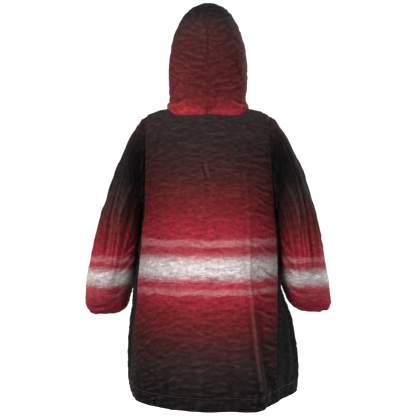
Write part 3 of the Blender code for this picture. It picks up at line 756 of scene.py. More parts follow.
BODY_CENTRE = np.array((0.0, 0.0, -0.45))
BODY_STREWN = 90              # small creases on a panel
hem_lines = []
body_nets = {}
for name, face, creases, seed in (("back_panel", 1, BACK_CREASES, 11),
                                  ("front_panel", -1, FRONT_CREASES, 23)):
    edge = 1 - SEAM_GAP / 2 / SHOULDER_X
    rows = body_rows(SHOULDER_ROWS * SEAM_GAP / 2 / NECK_HALF_DEPTH)
    across, row = np.meshgrid(np.linspace(-edge, edge, BODY_COLUMNS + 1), rows)
    base = panel(face, across, row)
    u, v = lengths(base)
    from_seam = np.minimum(u, u[:, -1:] - u)
    from_hem = v[-1:] - v
    normals = square_at_seams(facing(base, BODY_CENTRE), base)
    strewn = scattered((-0.22, -0.84), (0.20, -0.06), BODY_STREWN, seed + 4)
    relief = creased(base[..., 0], base[..., 2], creases + strewn)
    relief += crumple(u - u[:, BODY_COLUMNS // 2][:, None],
                      LEVEL_LEAN * np.abs(base[..., 1]) - base[..., 2], seed)
    relief += hem_relief(from_hem, u, seed + 5)
    held = ease(0.0, SEAM_HOLD, np.minimum(from_seam, v))
    at_shoulder = ease(NECK_SHARE, NECK_SHARE + SHOULDER_HOLD, np.abs(across))
    relief = relief * held + at_seam(from_seam, v, seed + 6)
    relief += at_seam(v, u, seed + 7) * at_shoulder
    net = base + normals * relief[..., None]
    body_nets[name] = net
    outward = square_at_seams(facing(net, BODY_CENTRE), net)
    outward[0] = (0.0, 0.0, 1.0)  # the allowances at neck and shoulders hang straight down
    hem_lines.append((net, outward))
    piece = cut_cloth(name + "_cloth", turned_in(*seam_allowance(*hem_lines[-1]), HEM_TURN_ROWS),
                      BODY_CENTRE, (body_fleece, inside_fleece), relief=relief,
                      top=len(ALLOWANCE_DEPTHS))
    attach(piece, "root")
    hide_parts(name)

# Side gores
# A plain charcoal piece under each arm, from the armpit to the hem, sewn between the two panels.
GORE_COLUMNS = 46
GORE_WIDTH = 0.1              # metres across a gore at the armpit
GORE_STREWN = 28
GORE_CREASES = rows_of(Crease, (
    (0.0, -0.34, 0.02, -0.56, 0.006, 0.008, -0.003),
    (-0.05, -0.42, -0.044, -0.7, 0.008, 0.01, 0.003),
    (0.04, -0.48, 0.056, -0.84, -0.006, 0.01, -0.0036),
    (0.012, -0.62, 0.01, -0.848, 0.005, 0.011, 0.004),
    (-0.07, -0.56, -0.088, -0.846, -0.005, 0.009, -0.0032),
    (-0.03, -0.74, -0.034, -0.85, 0.003, 0.007, -0.0024),
    (0.08, -0.6, 0.04, -0.64, 0.004, 0.006, -0.0022),
    (-0.01, -0.45, -0.06, -0.48, 0.004, 0.0055, -0.002),
))

GORE_GROUND = ((-0.900, CHARCOAL), (-0.300, CHARCOAL))
gore_fleece = dyed_fleece("fleece_gore", GORE_GROUND, (), highlight_to=CREST_HIGHLIGHT_CHARCOAL)

for name, side, seed in (("side_gore_left", 1, 37), ("side_gore_right", -1, 51)):
    trim = SEAM_GAP / 2 / GORE_WIDTH
    across, row = np.meshgrid(np.linspace(trim, 1 - trim, GORE_COLUMNS + 1), body_skirt_rows())
    which = "left" if side > 0 else "right"

    def angle_at(drop, across=across, side=side, which=which):
        back = along(BODY, "back_" + which, drop)
        return side * (back + (along(BODY, "front_" + which, drop) - back) * across)

    base = skirt(angle_at, row)
    u, v = lengths(base)
    from_seam = np.minimum(u, u[:, -1:] - u)
    normals = square_at_seams(facing(base, BODY_CENTRE), base)
    strewn = scattered((-0.12, -0.84), (0.08, -0.34), GORE_STREWN, seed + 4)
    relief = creased(base[..., 1], base[..., 2], GORE_CREASES + strewn)
    relief += crumple(u - u[:, GORE_COLUMNS // 2][:, None], -base[..., 2], seed)
    relief += hem_relief(v[-1:] - v, u, seed + 5)
    held = ease(0.0, SEAM_HOLD, np.minimum(from_seam, v))
    relief = relief * held + at_seam(from_seam, v, seed + 6) + at_seam(v, u, seed + 7)
    net = base + normals * relief[..., None]
    body_nets[name] = net
    hem_lines.append((net, square_at_seams(facing(net, BODY_CENTRE), net)))
    piece = cut_cloth(name + "_cloth", turned_in(*seam_allowance(*hem_lines[-1]), HEM_TURN_ROWS),
                      BODY_CENTRE, (gore_fleece, inside_fleece), relief=relief,
                      top=len(ALLOWANCE_DEPTHS))
    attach(piece, "root")
    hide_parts(name)

# Sleeves
# One piece of fleece each, closed by a seam under the arm, set into the armhole and gathered into
# the cuff. They hang full, and the forearms point forward.
Station = namedtuple("Station", "place outer_x outer_right outer_z inner_x inner_right inner_z"
                                " y depth tilt square")
SLEEVE = rows_of(Station, (
    (1, 0.2017, 0.2017, -0.027, 0.2058, 0.2133, -0.304, -0.003, 0.086, 0.0, 3.0),
    (2, 0.2185, 0.2185, -0.0535, 0.2066, 0.214, -0.3085, -0.003, 0.09, 0.0, 2.8),
    (3, 0.24, 0.243, -0.088, 0.2074, 0.215, -0.316, -0.003, 0.093, 0.0, 2.6),
    (4, 0.268, 0.279, -0.1615, 0.2087, 0.2168, -0.331, -0.003, 0.095, 2.0, 2.4),
    (5, 0.2965, 0.3045, -0.235, 0.2107, 0.2187, -0.353, -0.004, 0.094, 5.0, 2.2),
    (6, 0.324, 0.3265, -0.308, 0.214, 0.2207, -0.385, -0.008, 0.091, 10.0, 2.1),
    (7, 0.346, 0.346, -0.382, 0.2185, 0.2212, -0.425, -0.018, 0.087, 16.0, 2.0),
    (8, 0.364, 0.36, -0.448, 0.224, 0.2215, -0.468, -0.035, 0.083, 24.0, 2.0),
    (9, 0.378, 0.3735, -0.508, 0.2305, 0.226, -0.512, -0.058, 0.079, 33.0, 2.1),
    (10, 0.387, 0.383, -0.562, 0.24, 0.239, -0.555, -0.085, 0.072, 42.0, 2.4),
    (11, 0.3875, 0.385, -0.585, 0.254, 0.255, -0.578, -0.11, 0.06, 51.0, 2.6),
    (12, 0.371, 0.367, -0.587, 0.271, 0.27, -0.583, -0.132, 0.049, 59.0, 2.3),
    (13, 0.36, 0.356, -0.579, 0.28, 0.276, -0.577, -0.145, 0.041, 65.0, 2.0),
))
RIGHT_SLEEVE_LIFT = 0.005

# Soft folds along a sleeve, as in the solids: angle round it from the outer side by way of the
# back, spread, the stations it runs between, and its height.
SleeveFold = namedtuple("SleeveFold", "angle spread start end height")
SLEEVE_FOLDS = rows_of(SleeveFold, (
    (50.0, 12.0, 3.5, 10.5, 0.005),
    (68.0, 11.0, 2.5, 9.5, -0.005),
    (90.0, 13.0, 2.0, 10.5, 0.006),
    (118.0, 14.0, 2.0, 9.0, -0.006),
    (146.0, 12.0, 3.0, 9.5, 0.004),
    (238.0, 13.0, 3.0, 10.0, 0.005),
    (266.0, 13.0, 3.0, 9.5, -0.006),
    (300.0, 13.0, 3.5, 10.5, 0.005),
))

# Creases on a sleeve, in metres round it from the back and down it from the armhole, as if it
# were rolled out flat.
SLEEVE_CREASES = rows_of(Crease, (
    (0.06, -0.06, 0.04, -0.3, 0.008, 0.006, 0.0043),
    (0.034, -0.12, 0.02, -0.36, 0.006, 0.0055, -0.0047),
    (0.008, -0.08, -0.004, -0.33, -0.006, 0.005, 0.0047),
    (-0.03, -0.14, -0.036, -0.3, 0.006, 0.006, -0.0043),
    (-0.062, -0.05, -0.05, -0.21, 0.008, 0.007, -0.0047),
    (-0.08, -0.16, -0.07, -0.33, -0.006, 0.007, 0.004),
    (0.08, -0.27, 0.02, -0.3, 0.006, 0.005, -0.0037),
    (-0.01, -0.33, -0.08, -0.35, 0.007, 0.0055, -0.004),
    (0.07, -0.38, 0.0, -0.4, 0.008, 0.0055, -0.004),
    (0.01, -0.44, -0.074, -0.452, 0.006, 0.006, -0.0047),
    (0.086, -0.47, 0.03, -0.5, 0.004, 0.0055, -0.004),
    (0.15, -0.33, 0.23, -0.352, 0.01, 0.007, -0.0071),
    (0.146, -0.372, 0.222, -0.384, 0.009, 0.0065, -0.0065),
    (0.158, -0.412, 0.236, -0.416, 0.008, 0.007, -0.0068),
    (0.11, -0.24, 0.136, -0.44, 0.008, 0.008, 0.0047),
    (0.19, -0.08, 0.21, -0.3, 0.008, 0.008, -0.0053),
    (0.24, -0.06, 0.226, -0.24, -0.008, 0.0075, 0.0047),
    (-0.12, -0.06, -0.128, -0.2, 0.006, 0.007, -0.0053),
    (-0.146, -0.1, -0.12, -0.3, 0.008, 0.008, 0.0047),
    (-0.046, -0.1, -0.014, -0.34, 0.006, 0.0042, 0.0066),
    (-0.064, -0.12, -0.034, -0.33, 0.006, 0.006, -0.0054),
    (-0.024, -0.13, 0.006, -0.31, 0.005, 0.006, -0.0056),
    (0.096, -0.2, 0.04, -0.28, 0.008, 0.006, -0.0064),
    (0.104, -0.25, 0.03, -0.34, 0.01, 0.006, -0.0056),
    (-0.19, -0.52, -0.07, -0.536, 0.006, 0.0065, -0.0068),
    (-0.04, -0.545, 0.05, -0.53, -0.006, 0.006, -0.0053),
    (0.06, -0.54, 0.12, -0.52, 0.004, 0.006, -0.0047),
))
SLEEVE_COLUMNS = 140
CAP_STEPS = 5
SLEEVE_STEPS = 150
GATHERS = 27
GATHER_HEIGHT = 0.0030
FINE_GATHERS = 41             # finer ones between them, and their share of the height
FINE_SHARE = 0.35
PUFFS = 11
GATHER_REACH = (0.110, 0.015)  # metres above the cuff: where the gathers start and are full
GATHER_HOLD = 0.008           # they are held flat this near to it
ARMHOLE_HOLD = 0.012          # creases fade out this near to the armhole
PUFF_HEIGHT = 0.0040          # how far the blouse of the sleeve bulges between its gathers
PUFF_LENGTH = 0.060
PUFF_MIDDLE = 0.055           # metres above the cuff; hump repeats, so also 0.36 m higher
PUFF_SPREAD = 45.0            # in millimetres
DRAWN_IN = 0.0012             # the sleeve is drawn in this much at the cuff's seam
DRAWN_REACH = 0.004
SIDE_REST = 0.0065            # the cloth swells where the sleeve rests against the side
SIDE_SPREAD = 34.0            # degrees to each side of the arm's inner line
SIDE_PRESS = 0.8              # how far the creases are pressed flat there
SLEEVE_SHADING_SHARE = 0.6             # share of its height at which a sleeve's crest is judged for painted shade and highlight

# Wrinkles of a sleeve: how many round it, length down it, and height.
SHORT_ROUND = (24, 0.010, 0.0009)
SHARP_ROUND = (17, 0.015, 0.0016)
BROAD_ROUND = (9, 0.050, 0.0024)
SLEEVE_STREWN = 70            # small creases on a sleeve
ARM_GIRTH = 0.56              # metres round a sleeve that its creases are laid out on

SLEEVE_GROUND = (
    (-0.700, OXBLOOD), (-0.650, MADDER), (-0.610, CRIMSON),
    (-0.530, ROSE), (-0.430, CRIMSON), (-0.375, MADDER), (-0.315, OXBLOOD),
    (-0.255, SMOKED_OXBLOOD), (-0.205, CHARCOAL), (-0.130, CHARCOAL), (-0.060, SMOKED_OXBLOOD),
)
SLEEVE_BANDS = ((-0.452, 0.006, 0.70), (-0.508, 0.017, 0.95))
# Painted shade: the sleeves darken towards the body, from 0.262 m to 0.212 m off the centre line,
# where they hang against it.
sleeve_fleece = dyed_fleece("fleece_sleeve", SLEEVE_GROUND, SLEEVE_BANDS, 0.262, 0.212, 0.80)


def sleeve_station(side, place):
    """The sleeve's sections at places, as middles, outward halves and backward halves."""
    row = Station(place, *(along(SLEEVE, name, place) for name in Station._fields[1:]))
    lift = 0.0 if side > 0 else RIGHT_SLEEVE_LIFT * ease(1, 10, place)
    outer = points(row.outer_x if side > 0 else row.outer_right, 0, row.outer_z + lift)
    inner = points(row.inner_x if side > 0 else row.inner_right, 0, row.inner_z + lift)
    tilt = np.radians(row.tilt)
    middle = (outer + inner) / 2 + points(0, row.y, 0)
    backward = points(0, np.cos(tilt), -np.sin(tilt)) * row.depth[..., None]
    return middle, (outer - inner) / 2, backward, row.square


def sleeve(side, angle, place):
    """Points of a sleeve at angles from its outer side, by way of the back."""
    middle, outward, backward, square = sleeve_station(side, place)
    turn = np.radians(angle)
    wide = np.copysign(np.abs(np.cos(turn)) ** (2 / square), np.cos(turn))
    deep = np.copysign(np.abs(np.sin(turn)) ** (2 / square), np.sin(turn))
    swell = 1.0
    for fold in SLEEVE_FOLDS:
        grown = ease(fold.start, fold.start + 2.5, place)
        grown = grown * (1 - ease(fold.end - 2.5, fold.end, place))
        depth = np.linalg.norm(backward, axis=-1)
        swell = swell + fold.height / depth * grown * hump(angle - fold.angle, fold.spread)
    place = middle + (outward * wide[..., None] + backward * deep[..., None]) * swell[..., None]
    place[..., 0] *= side
    return place


def armhole(side, angles):
    """Points of the armhole's edge at angles round it, over the back, the gore and the front."""
    column = -1 if side > 0 else 0
    gore = body_nets["side_gore_left" if side > 0 else "side_gore_right"]
    depth = SHOULDER_STEPS + CHEST_STEPS
    loop = np.concatenate([body_nets["back_panel"][:depth + 1, column], gore[0, 1:-1],
                           body_nets["front_panel"][depth:0:-1, column]])
    loop[0, 1] = 0.0
    low, high = loop[:, 2].min(), loop[:, 2].max()
    upward = (loop[:, 2] - (high + low) / 2) / (high - low) * 2
    own = np.degrees(np.arctan2(loop[:, 1] / np.abs(loop[:, 1]).max(), upward)) % 360.0
    own[0] = 0.0
    order = np.argsort(own)
    return np.stack([np.interp(angles, own[order], loop[order, k], period=360.0)
                     for k in range(3)], axis=-1)


def rumple_round(angle, down, count, long, seed):
    """Relief of a sleeve in patches, this many round it and this long down it."""
    return rumple(angle / 360.0, down, 1 / count, long, seed, count)


for name, side, seed in (("sleeve_left", 1, 67), ("sleeve_right", -1, 83)):
    angles = np.linspace(0, 360, SLEEVE_COLUMNS + 1)
    places = np.linspace(1, SLEEVE[-1].place, SLEEVE_STEPS + 1)
    angle, place = np.meshgrid(angles, places)
    arm = sleeve(side, angle, place)
    start = armhole(side, angles) + np.array((side * SEAM_GAP, 0, 0))
    cap = [start + (arm[0] - start) * t for t in np.linspace(0, 1, CAP_STEPS + 1)[:-1]]
    base = np.concatenate([cap, arm])
    base[:, -1] = base[:, 0]
    angle = np.concatenate([np.tile(angles, (CAP_STEPS, 1)), angle])
    place = np.concatenate([np.full((CAP_STEPS, SLEEVE_COLUMNS + 1), 1.0), place])
    middle = np.concatenate([[base[:CAP_STEPS].mean(axis=(0, 1))] * CAP_STEPS,
                             base[CAP_STEPS:, :-1].mean(axis=1)])
    normals = facing(base, middle[:, None], closed=True)
    round_it = (angle / 360.0 - 0.25) * ARM_GIRTH
    round_it = (round_it + ARM_GIRTH / 2) % ARM_GIRTH - ARM_GIRTH / 2
    down = lengths(base)[1].mean(axis=1)[:, None] + 0 * round_it
    from_cuff = down[-1:] - down
    gather = rumple_round(angle, 0 * angle, GATHERS, 1.0, seed)
    fine = rumple_round(angle, 0 * angle, FINE_GATHERS, 1.0, seed + 1)
    gather = gather + FINE_SHARE * fine
    folds = SLEEVE_CREASES + scattered((-0.28, -0.58), (0.24, -0.04), SLEEVE_STREWN, seed + 7, 0.45)
    relief = sum(creased(round_it + turn * ARM_GIRTH, -down, folds) for turn in (0, 1, -1))
    relief += SHORT_ROUND[2] * rumple_round(angle, down, *SHORT_ROUND[:2], seed + 2)
    sharp = 0.5 - np.abs(rumple_round(angle, down, *SHARP_ROUND[:2], seed + 3))
    relief += SHARP_ROUND[2] * sharp
    relief += BROAD_ROUND[2] * rumple_round(angle, down, *BROAD_ROUND[:2], seed + 4)
    relief *= ease(0.0, ARMHOLE_HOLD, down)
    gather = gather * ease(*GATHER_REACH, from_cuff) * ease(0.0, GATHER_HOLD, from_cuff)
    relief += GATHER_HEIGHT * gather
    puffed = rumple_round(angle, from_cuff, PUFFS, PUFF_LENGTH, seed + 8)
    relief += PUFF_HEIGHT * puffed * hump((from_cuff - PUFF_MIDDLE) * 1000.0, PUFF_SPREAD)
    under = np.abs(angle - 180.0) / 360.0 * ARM_GIRTH
    relief += at_seam(under, down, seed + 5)
    relief += at_seam(down, round_it, seed + 6)
    relief -= DRAWN_IN * np.exp(-(from_cuff / DRAWN_REACH) ** 2)
    relief[0] = 0.0
    against_side = hump(angle - 180.0, SIDE_SPREAD)
    against_side = against_side * ease(1.0, 2.0, place) * ease(10.0, 8.5, place)
    relief = relief * (1 - SIDE_PRESS * against_side) + SIDE_REST * against_side
    net = base + normals * relief[..., None]
    net[:, -1] = net[:, 0]
    folded, normals = seam_allowance(net, normals, "T")
    piece = cut_cloth(name + "_cloth", folded, middle[len(middle) // 3],
                      (sleeve_fleece, inside_fleece), closed=True, relief=SLEEVE_SHADING_SHARE * relief,
                      top=len(ALLOWANCE_DEPTHS))
    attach(piece, "root")
    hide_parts(name)

# Cuffs
# A band of charcoal rib knit, folded double round the wrist and sewn to the gathered sleeve end.
CUFF_LENGTH = 0.060
CUFF_TIP = 67.0
CUFF_SPREAD = 1.03
CUFF_WAIST = 0.05             # how much narrower it is in the middle
CUFF_SUNK = 0.0026            # the seam's end lies this much inside the sleeve
CUFF_SUNK_SHARE = 0.12
KNIT = 0.0016                 # thickness of the rib knit
RIBS = 64
RIB_COLUMNS = 4
RIB_HEIGHT = 0.0007
CUFF_STEPS = 24
CUFF_TUCK = 0.008             # sewn in behind the sleeve's end


def rib_knit(name):
    """Charcoal rib knit: small loops in rows across the ribs."""
    finish, tree, place = new_finish(name)
    cloth = add_node(tree, "ShaderNodeUVMap", {"uv_map": "cloth"}).outputs[0]
    loops = add_node(tree, "ShaderNodeTexWave", {"bands_direction": "Y"}, Vector=cloth,
                     Scale=260.0, Distortion=1.2)
    fuzz = noise(tree, place, 700.0, 3.0)
    height = maths(tree, "MULTIPLY_ADD", fuzz, 0.6, loops.outputs[1])
    bump = add_node(tree, "ShaderNodeBump", Height=height, Strength=0.6, Distance=0.0006)
    dress(tree, tinted(tree, CHARCOAL, shaded(tree, height, 0.2, 1.4, 0.6, 1.3)),
          {"Roughness": 0.9, "Specular IOR Level": 0.25, "Sheen Weight": 0.08}, bump)
    return finish


cuff_knit = rib_knit("rib_knit")

for name, side in (("cuff_left", 1), ("cuff_right", -1)):
    columns = RIBS * RIB_COLUMNS
    angle, share = np.meshgrid(np.linspace(0, 360, columns + 1),
                               np.linspace(0, 1, CUFF_STEPS + 1))
    middle, outward, backward, square = sleeve_station(side, np.array(float(SLEEVE[-1].place)))
    turn = np.radians(angle)
    tip = math.radians(CUFF_TIP)
    down = np.array((0, -math.sin(tip), -math.cos(tip)))
    drawn = 1 + (CUFF_SPREAD - 1) * share - CUFF_WAIST * np.sin(math.pi * share) ** 2
    ring = (outward * np.cos(turn)[..., None] + backward * np.sin(turn)[..., None])
    reach = 2 * SEAM_GAP - CUFF_TUCK + (CUFF_LENGTH + CUFF_TUCK - FOLD_HALF) * share
    base = middle + ring * drawn[..., None] + down * reach[..., None]
    base[..., 0] *= side
    normals = facing(base, base.mean(axis=(0, 1)), closed=True)
    ribs = np.abs(np.sin(RIBS * turn / 2)) - 0.6
    relief = RIB_HEIGHT * ribs - CUFF_SUNK * ease(CUFF_SUNK_SHARE, 0.0, share)
    net = base + normals * relief[..., None]
    net[:, -1] = net[:, 0]
    piece = cut_cloth(name + "_knit", turned_in(net, normals, CUFF_STEPS),
                      base[CUFF_STEPS // 3].mean(axis=0), (cuff_knit, cuff_knit), closed=True,
                      thickness=KNIT)
    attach(piece, "root")
    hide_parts(name)

# Hood
# Two halves of dip-dyed fleece, joined over the head from nape to brow, sewn to the neckline and
# turned in round the face. It stands up, filled out, with the cloth pinched above the neck seam.
Crown = namedtuple("Crown", "place y z half_width")
HOOD = rows_of(Crown, (
    (0.0, 0.1, -0.0197, 0.125),
    (0.05, 0.109, 0.008, 0.1215),
    (0.1, 0.112, 0.035, 0.1165),
    (0.16, 0.122, 0.07, 0.117),
    (0.28, 0.137, 0.135, 0.118),
    (0.4, 0.138, 0.2, 0.118),
    (0.52, 0.118, 0.26, 0.118),
    (0.64, 0.073, 0.306, 0.118),
    (0.76, 0.011, 0.3263, 0.117),
    (0.88, -0.055, 0.318, 0.113),
    (1.0, -0.118, 0.295, 0.106),
))
THROAT_TOP_Y = -0.126
THROAT_TOP_Z = -0.012
FACE_HOLLOW = 0.016
HOOD_COLUMNS = 96
HOOD_ROWS = 124
FACE_TURN_ROWS = 8
HOOD_RISE = 0.37              # metres from neck to face, a third of the way round from the back
HOOD_TUCK = 0.020             # share of the rise that is sewn in below the neckline
FRONT_TUCK = 0.40             # metres to a whole rise that it lies lower still in front
SEWN_IN = 0.010               # metres of the hood below the neckline
HOOD_BULGE = 0.0038           # the cloth swells just above the neck seam
BULGE_MIDDLE = 0.010          # metres above the seam
BULGE_SPREAD = 0.008
BULGE_SIDES = 0.3             # share of the bulge that is left at the sides
HOOD_SINK = 0.0003            # the hood's seam is pressed flatter than the others
NECK_LAP = 0.0020             # the seam rolls this far out over the shoulders
LAP_REACH = (0.020, 0.006)    # metres from its lower edge: where the lap ends and is full
HOOD_EASE = 0.0012            # small gathers just above the seam
HOOD_EASE_LENGTH = 0.011
HOOD_EASE_REACH = (0.03, 0.008)  # metres above the seam: where they start and are full
FACE_BAND = 0.025             # the turned edge round the face
FACE_GROOVE = 0.0007

# Creases on the back of the hood, as metres from the centre seam and up.
HOOD_CREASES = {
    1: rows_of(Crease, (
        (0.116, 0.02, 0.06, 0.034, 0.006, 0.0055, -0.004),
        (0.112, 0.046, 0.084, 0.1, 0.006, 0.006, -0.0026),
        (0.04, 0.002, 0.03, 0.06, -0.003, 0.007, -0.002),
        (0.092, 0.15, 0.06, 0.18, 0.005, 0.006, -0.0016),
        (0.07, 0.23, 0.03, 0.262, 0.004, 0.007, -0.0018),
        (0.078, 0.0, 0.082, 0.042, 0.002, 0.008, 0.0022),
    )),
    -1: rows_of(Crease, (
        (0.112, 0.018, 0.07, 0.03, 0.006, 0.005, -0.004),
        (0.078, 0.136, 0.1, 0.08, 0.003, 0.005, -0.003),
        (0.104, 0.05, 0.06, 0.086, 0.005, 0.006, -0.002),
        (0.02, 0.004, 0.034, 0.05, 0.003, 0.007, -0.0018),
        (0.06, 0.21, 0.096, 0.176, 0.004, 0.0065, -0.0018),
        (0.086, 0.002, 0.08, 0.04, 0.002, 0.008, 0.0022),
    )),
}
# Creases on its side, as metres forward and up.
HOOD_SIDE_CREASES = rows_of(Crease, (
    (0.07, 0.016, 0.0, 0.05, 0.008, 0.0065, -0.0038),
    (0.03, 0.004, -0.06, 0.03, 0.01, 0.007, -0.0036),
    (-0.02, -0.02, -0.1, 0.01, 0.008, 0.0065, 0.003),
    (0.05, 0.08, 0.02, 0.17, 0.008, 0.008, -0.0024),
    (-0.06, 0.09, -0.08, 0.2, 0.006, 0.008, 0.0022),
    (-0.01, 0.24, -0.08, 0.26, 0.006, 0.007, -0.0022),
))

HOOD_GROUND = (
    (-0.055, CRIMSON), (-0.020, CRIMSON), (0.003, MADDER), (0.038, WINE), (0.115, GARNET),
    (0.165, OXBLOOD), (0.185, OXBLOOD), (0.250, SMOKED_OXBLOOD), (0.282, CHARCOAL),
)
hood_fleece = dyed_fleece("fleece_hood", HOOD_GROUND, (), 0.02, 0.09, -0.42, 0.17, 0.05)


def hood(side, share, rise):
    """Points of a hood half: share from the centre seam to the throat, rise from the neck."""
    turn = math.pi * share
    forward = ((1 - np.cos(turn)) / 2)[..., None]
    back = points(0, along(HOOD, "y", rise), along(HOOD, "z", rise))
    low = neckline(1.0)
    throat = points(0, low[1] + (THROAT_TOP_Y - low[1]) * rise,
                    low[2] + SEAM_GAP + (THROAT_TOP_Z - low[2]) * rise)
    place = back * (1 - forward) + throat * forward
    sewn_in = np.maximum(rise, 0.0)
    place[..., 2] += NECK_SIDE_RISE * (1 - sewn_in) ** 3 * np.sin(turn) ** NECK_SIDE_SHARPNESS
    place[..., 2] += FRONT_TUCK * (rise - sewn_in) * forward[..., 0]
    place[..., 1] += FACE_HOLLOW * rise ** 4 * np.sin(turn) ** 2
    place[..., 0] = side * (SEAM_GAP / 2 + along(HOOD, "half_width", rise) * np.sin(turn))
    return place


HOOD_CENTRE = np.array((0.0, 0.0, 0.12))
face_lines = []
for name, side, seed in (("hood_left", 1, 101), ("hood_right", -1, 117)):
    share, rise = np.meshgrid(np.linspace(0, 1, HOOD_COLUMNS + 1),
                              np.linspace(-HOOD_TUCK, 1 - FOLD_HALF / HOOD_RISE, HOOD_ROWS + 1))
    base = hood(side, share, rise)
    u, v = lengths(base)
    normals = facing(base, HOOD_CENTRE)
    normals[:, (0, -1), 0] = 0
    normals = unit(normals)
    from_face = v[-1:] - v
    behind = ease(0.0, 0.05, base[..., 1])
    beside = ease(0.05, 0.09, np.abs(base[..., 0]))
    relief = creased(np.abs(base[..., 0]), base[..., 2], HOOD_CREASES[side]) * behind
    relief += creased(base[..., 1], base[..., 2], HOOD_SIDE_CREASES) * beside
    relief += crumple(u, LEVEL_LEAN * base[..., 1] + base[..., 2], seed)
    relief -= FACE_GROOVE * np.exp(-((from_face - FACE_BAND) / GROOVE_WIDTH) ** 2)
    from_seam = np.minimum(u, u[:, -1:] - u)
    held = ease(0.0, SEAM_HOLD, np.minimum(from_seam, v))
    relief = relief * held + at_seam(from_seam, v, seed + 6, HOOD_SINK)
    above_seam = v - SEWN_IN
    fullness = BULGE_SIDES + (1 - BULGE_SIDES) * np.cos(math.pi * share) ** 2
    fullness = HOOD_BULGE * fullness * ease(0.0, 0.02, from_seam)
    relief += fullness * np.exp(-((above_seam - BULGE_MIDDLE) / BULGE_SPREAD) ** 2)
    relief += NECK_LAP * ease(*LAP_REACH, v)
    eased = rumple(u, v, HOOD_EASE_LENGTH, 1.0, seed + 8) * ease(*HOOD_EASE_REACH, above_seam)
    relief += HOOD_EASE * eased * held
    net = base + normals * relief[..., None]
    outward = facing(net, HOOD_CENTRE)
    outward[:, (0, -1), 0] = 0
    outward = unit(outward)
    face_lines.append((net, outward))
    folded = seam_allowance(net, outward, "LR")
    piece = cut_cloth(name + "_cloth", turned_in(*folded, FACE_TURN_ROWS), HOOD_CENTRE,
                      (hood_fleece, inside_fleece), relief=relief)
    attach(piece, "root")
    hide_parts(name)

# Stitching
# Lockstitches in dark red thread that hold the turned hem and the turned edge of the hood.
STITCH_LENGTH = 0.0030
STITCH_STEP = 0.0038
THREAD = 0.0006
THREAD_LIFT = 0.3             # share of the thread that it lies above the cloth
THREAD_RED = (0.085, 0.028, 0.028)

thread_finish, thread_tree, thread_place = new_finish("thread")
twist = shaded(thread_tree, noise(thread_tree, thread_place, 2600.0), 0.0, 1.0, 0.6, 1.5)
dress(thread_tree, tinted(thread_tree, THREAD_RED, twist), {"Roughness": 0.6})


def stitch_line(mesh, net, normals, band):
    """Adds stitches along the line that lies this far from a net's last row."""
    down = lengths(net)[1]
    left = down[-1:] - down
    line, up = [], []
    for j in range(net.shape[1]):
        i = int(np.argmax(left[:, j] <= band))
        t = (left[i - 1, j] - band) / (left[i - 1, j] - left[i, j])
        line.append(net[i - 1, j] * (1 - t) + net[i, j] * t)
        up.append(normals[i - 1, j] * (1 - t) + normals[i, j] * t)
    line, up = np.array(line), np.array(up)
    run = np.concatenate([[0], np.linalg.norm(np.diff(line, axis=0), axis=1).cumsum()])
    for at in np.arange(STITCH_STEP / 2, run[-1], STITCH_STEP):
        here, ahead, normal = (Vector([np.interp(s, run, values[:, k]) for k in range(3)])
                               for s, values in ((at, line), (at + 0.001, line), (at, up)))
        along_it = (ahead - here).normalized()
        normal.normalize()
        across_it = normal.cross(along_it).normalized()
        turn = Matrix((along_it, across_it, along_it.cross(across_it))).transposed().to_4x4()
        size = Matrix.Diagonal((STITCH_LENGTH / 2, THREAD, THREAD, 1.0))
        shift = Matrix.Translation(here + normal * THREAD_LIFT * THREAD)
        bmesh.ops.create_uvsphere(mesh, u_segments=6, v_segments=5, radius=1.0,
                                  matrix=shift @ turn @ size)


for name, lines, band in (("hem_stitching", hem_lines, HEM_BAND),
                          ("hood_stitching", face_lines, FACE_BAND)):
    mesh = bmesh.new()
    for net, normals in lines:
        stitch_line(mesh, net, normals, band)
    for face in mesh.faces:
        face.smooth = True
    data = bpy.data.meshes.new(name)
    mesh.to_mesh(data)
    mesh.free()
    piece = bpy.data.objects.new(name, data)
    bpy.context.scene.collection.objects.link(piece)
    data.materials.append(thread_finish)
    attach(piece, "root")

# Floor and light
# A plain white floor far below the hem, as if a wearer stood on it, that curves up into a backdrop,
# and broad soft lights. The key light is high behind the left shoulder.
FLOOR_LEVEL = -1.45
FLOOR_RADIUS = 9.0
BACKDROP_HEIGHT = 6.0

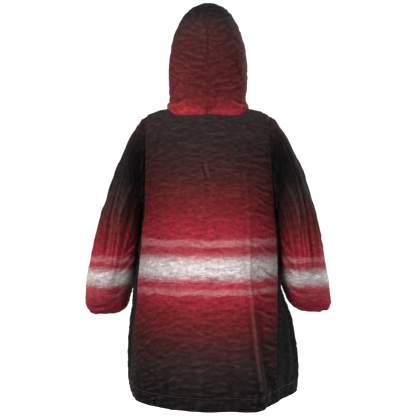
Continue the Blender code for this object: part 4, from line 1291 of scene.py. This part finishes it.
floor_mesh = bmesh.new()
profile = [floor_mesh.verts.new(place) for place in (
    (0.01, 0, FLOOR_LEVEL), (FLOOR_RADIUS * 0.7, 0, FLOOR_LEVEL),
    (FLOOR_RADIUS * 0.88, 0, FLOOR_LEVEL + 0.35), (FLOOR_RADIUS * 0.97, 0, FLOOR_LEVEL + 1.3),
    (FLOOR_RADIUS, 0, BACKDROP_HEIGHT))]
for low, high in zip(profile, profile[1:]):
    floor_mesh.edges.new((low, high))
bmesh.ops.spin(floor_mesh, geom=floor_mesh.verts[:] + floor_mesh.edges[:], cent=(0, 0, 0),
               axis=(0, 0, 1), angle=math.tau, steps=64, use_merge=True)
for face in floor_mesh.faces:
    face.smooth = True
floor_data = bpy.data.meshes.new("floor")
floor_mesh.to_mesh(floor_data)
floor_mesh.free()
floor = bpy.data.objects.new("floor", floor_data)
bpy.context.scene.collection.objects.link(floor)
paper = bpy.data.materials.new("paper")
paper.use_nodes = True
paper_surface = paper.node_tree.nodes["Principled BSDF"]
paper_surface.inputs["Base Color"].default_value = (0.8, 0.8, 0.8, 1)
paper_surface.inputs["Roughness"].default_value = 1.0
paper_surface.inputs["Emission Color"].default_value = (1, 1, 1, 1)
paper_surface.inputs["Emission Strength"].default_value = 0.75
floor_data.materials.append(paper)
floor.visible_diffuse = False
floor.visible_shadow = False

world = bpy.data.worlds.new("studio")
bpy.context.scene.world = world
world.use_nodes = True
world.node_tree.nodes["Background"].inputs["Color"].default_value = (1, 1, 1, 1)
world.node_tree.nodes["Background"].inputs["Strength"].default_value = 0.36

for name, place, size, power in (
        ("key", (1.9, 3.0, 2.5), 1.0, 165.0), ("fill", (-2.6, 3.4, 0.0), 2.0, 30.0),
        ("front", (-2.2, -2.4, 1.0), 1.2, 70.0), ("top", (0.0, 0.2, 3.0), 2.0, 12.0)):
    light = bpy.data.objects.new(name, bpy.data.lights.new(name, "AREA"))
    bpy.context.scene.collection.objects.link(light)
    light.data.size = size
    light.data.energy = power
    light.location = place
    light.rotation_euler = (Vector((0, 0, -0.35)) - light.location).to_track_quat("-Z", "Y").to_euler()

bpy.context.scene.view_settings.view_transform = "Standard"
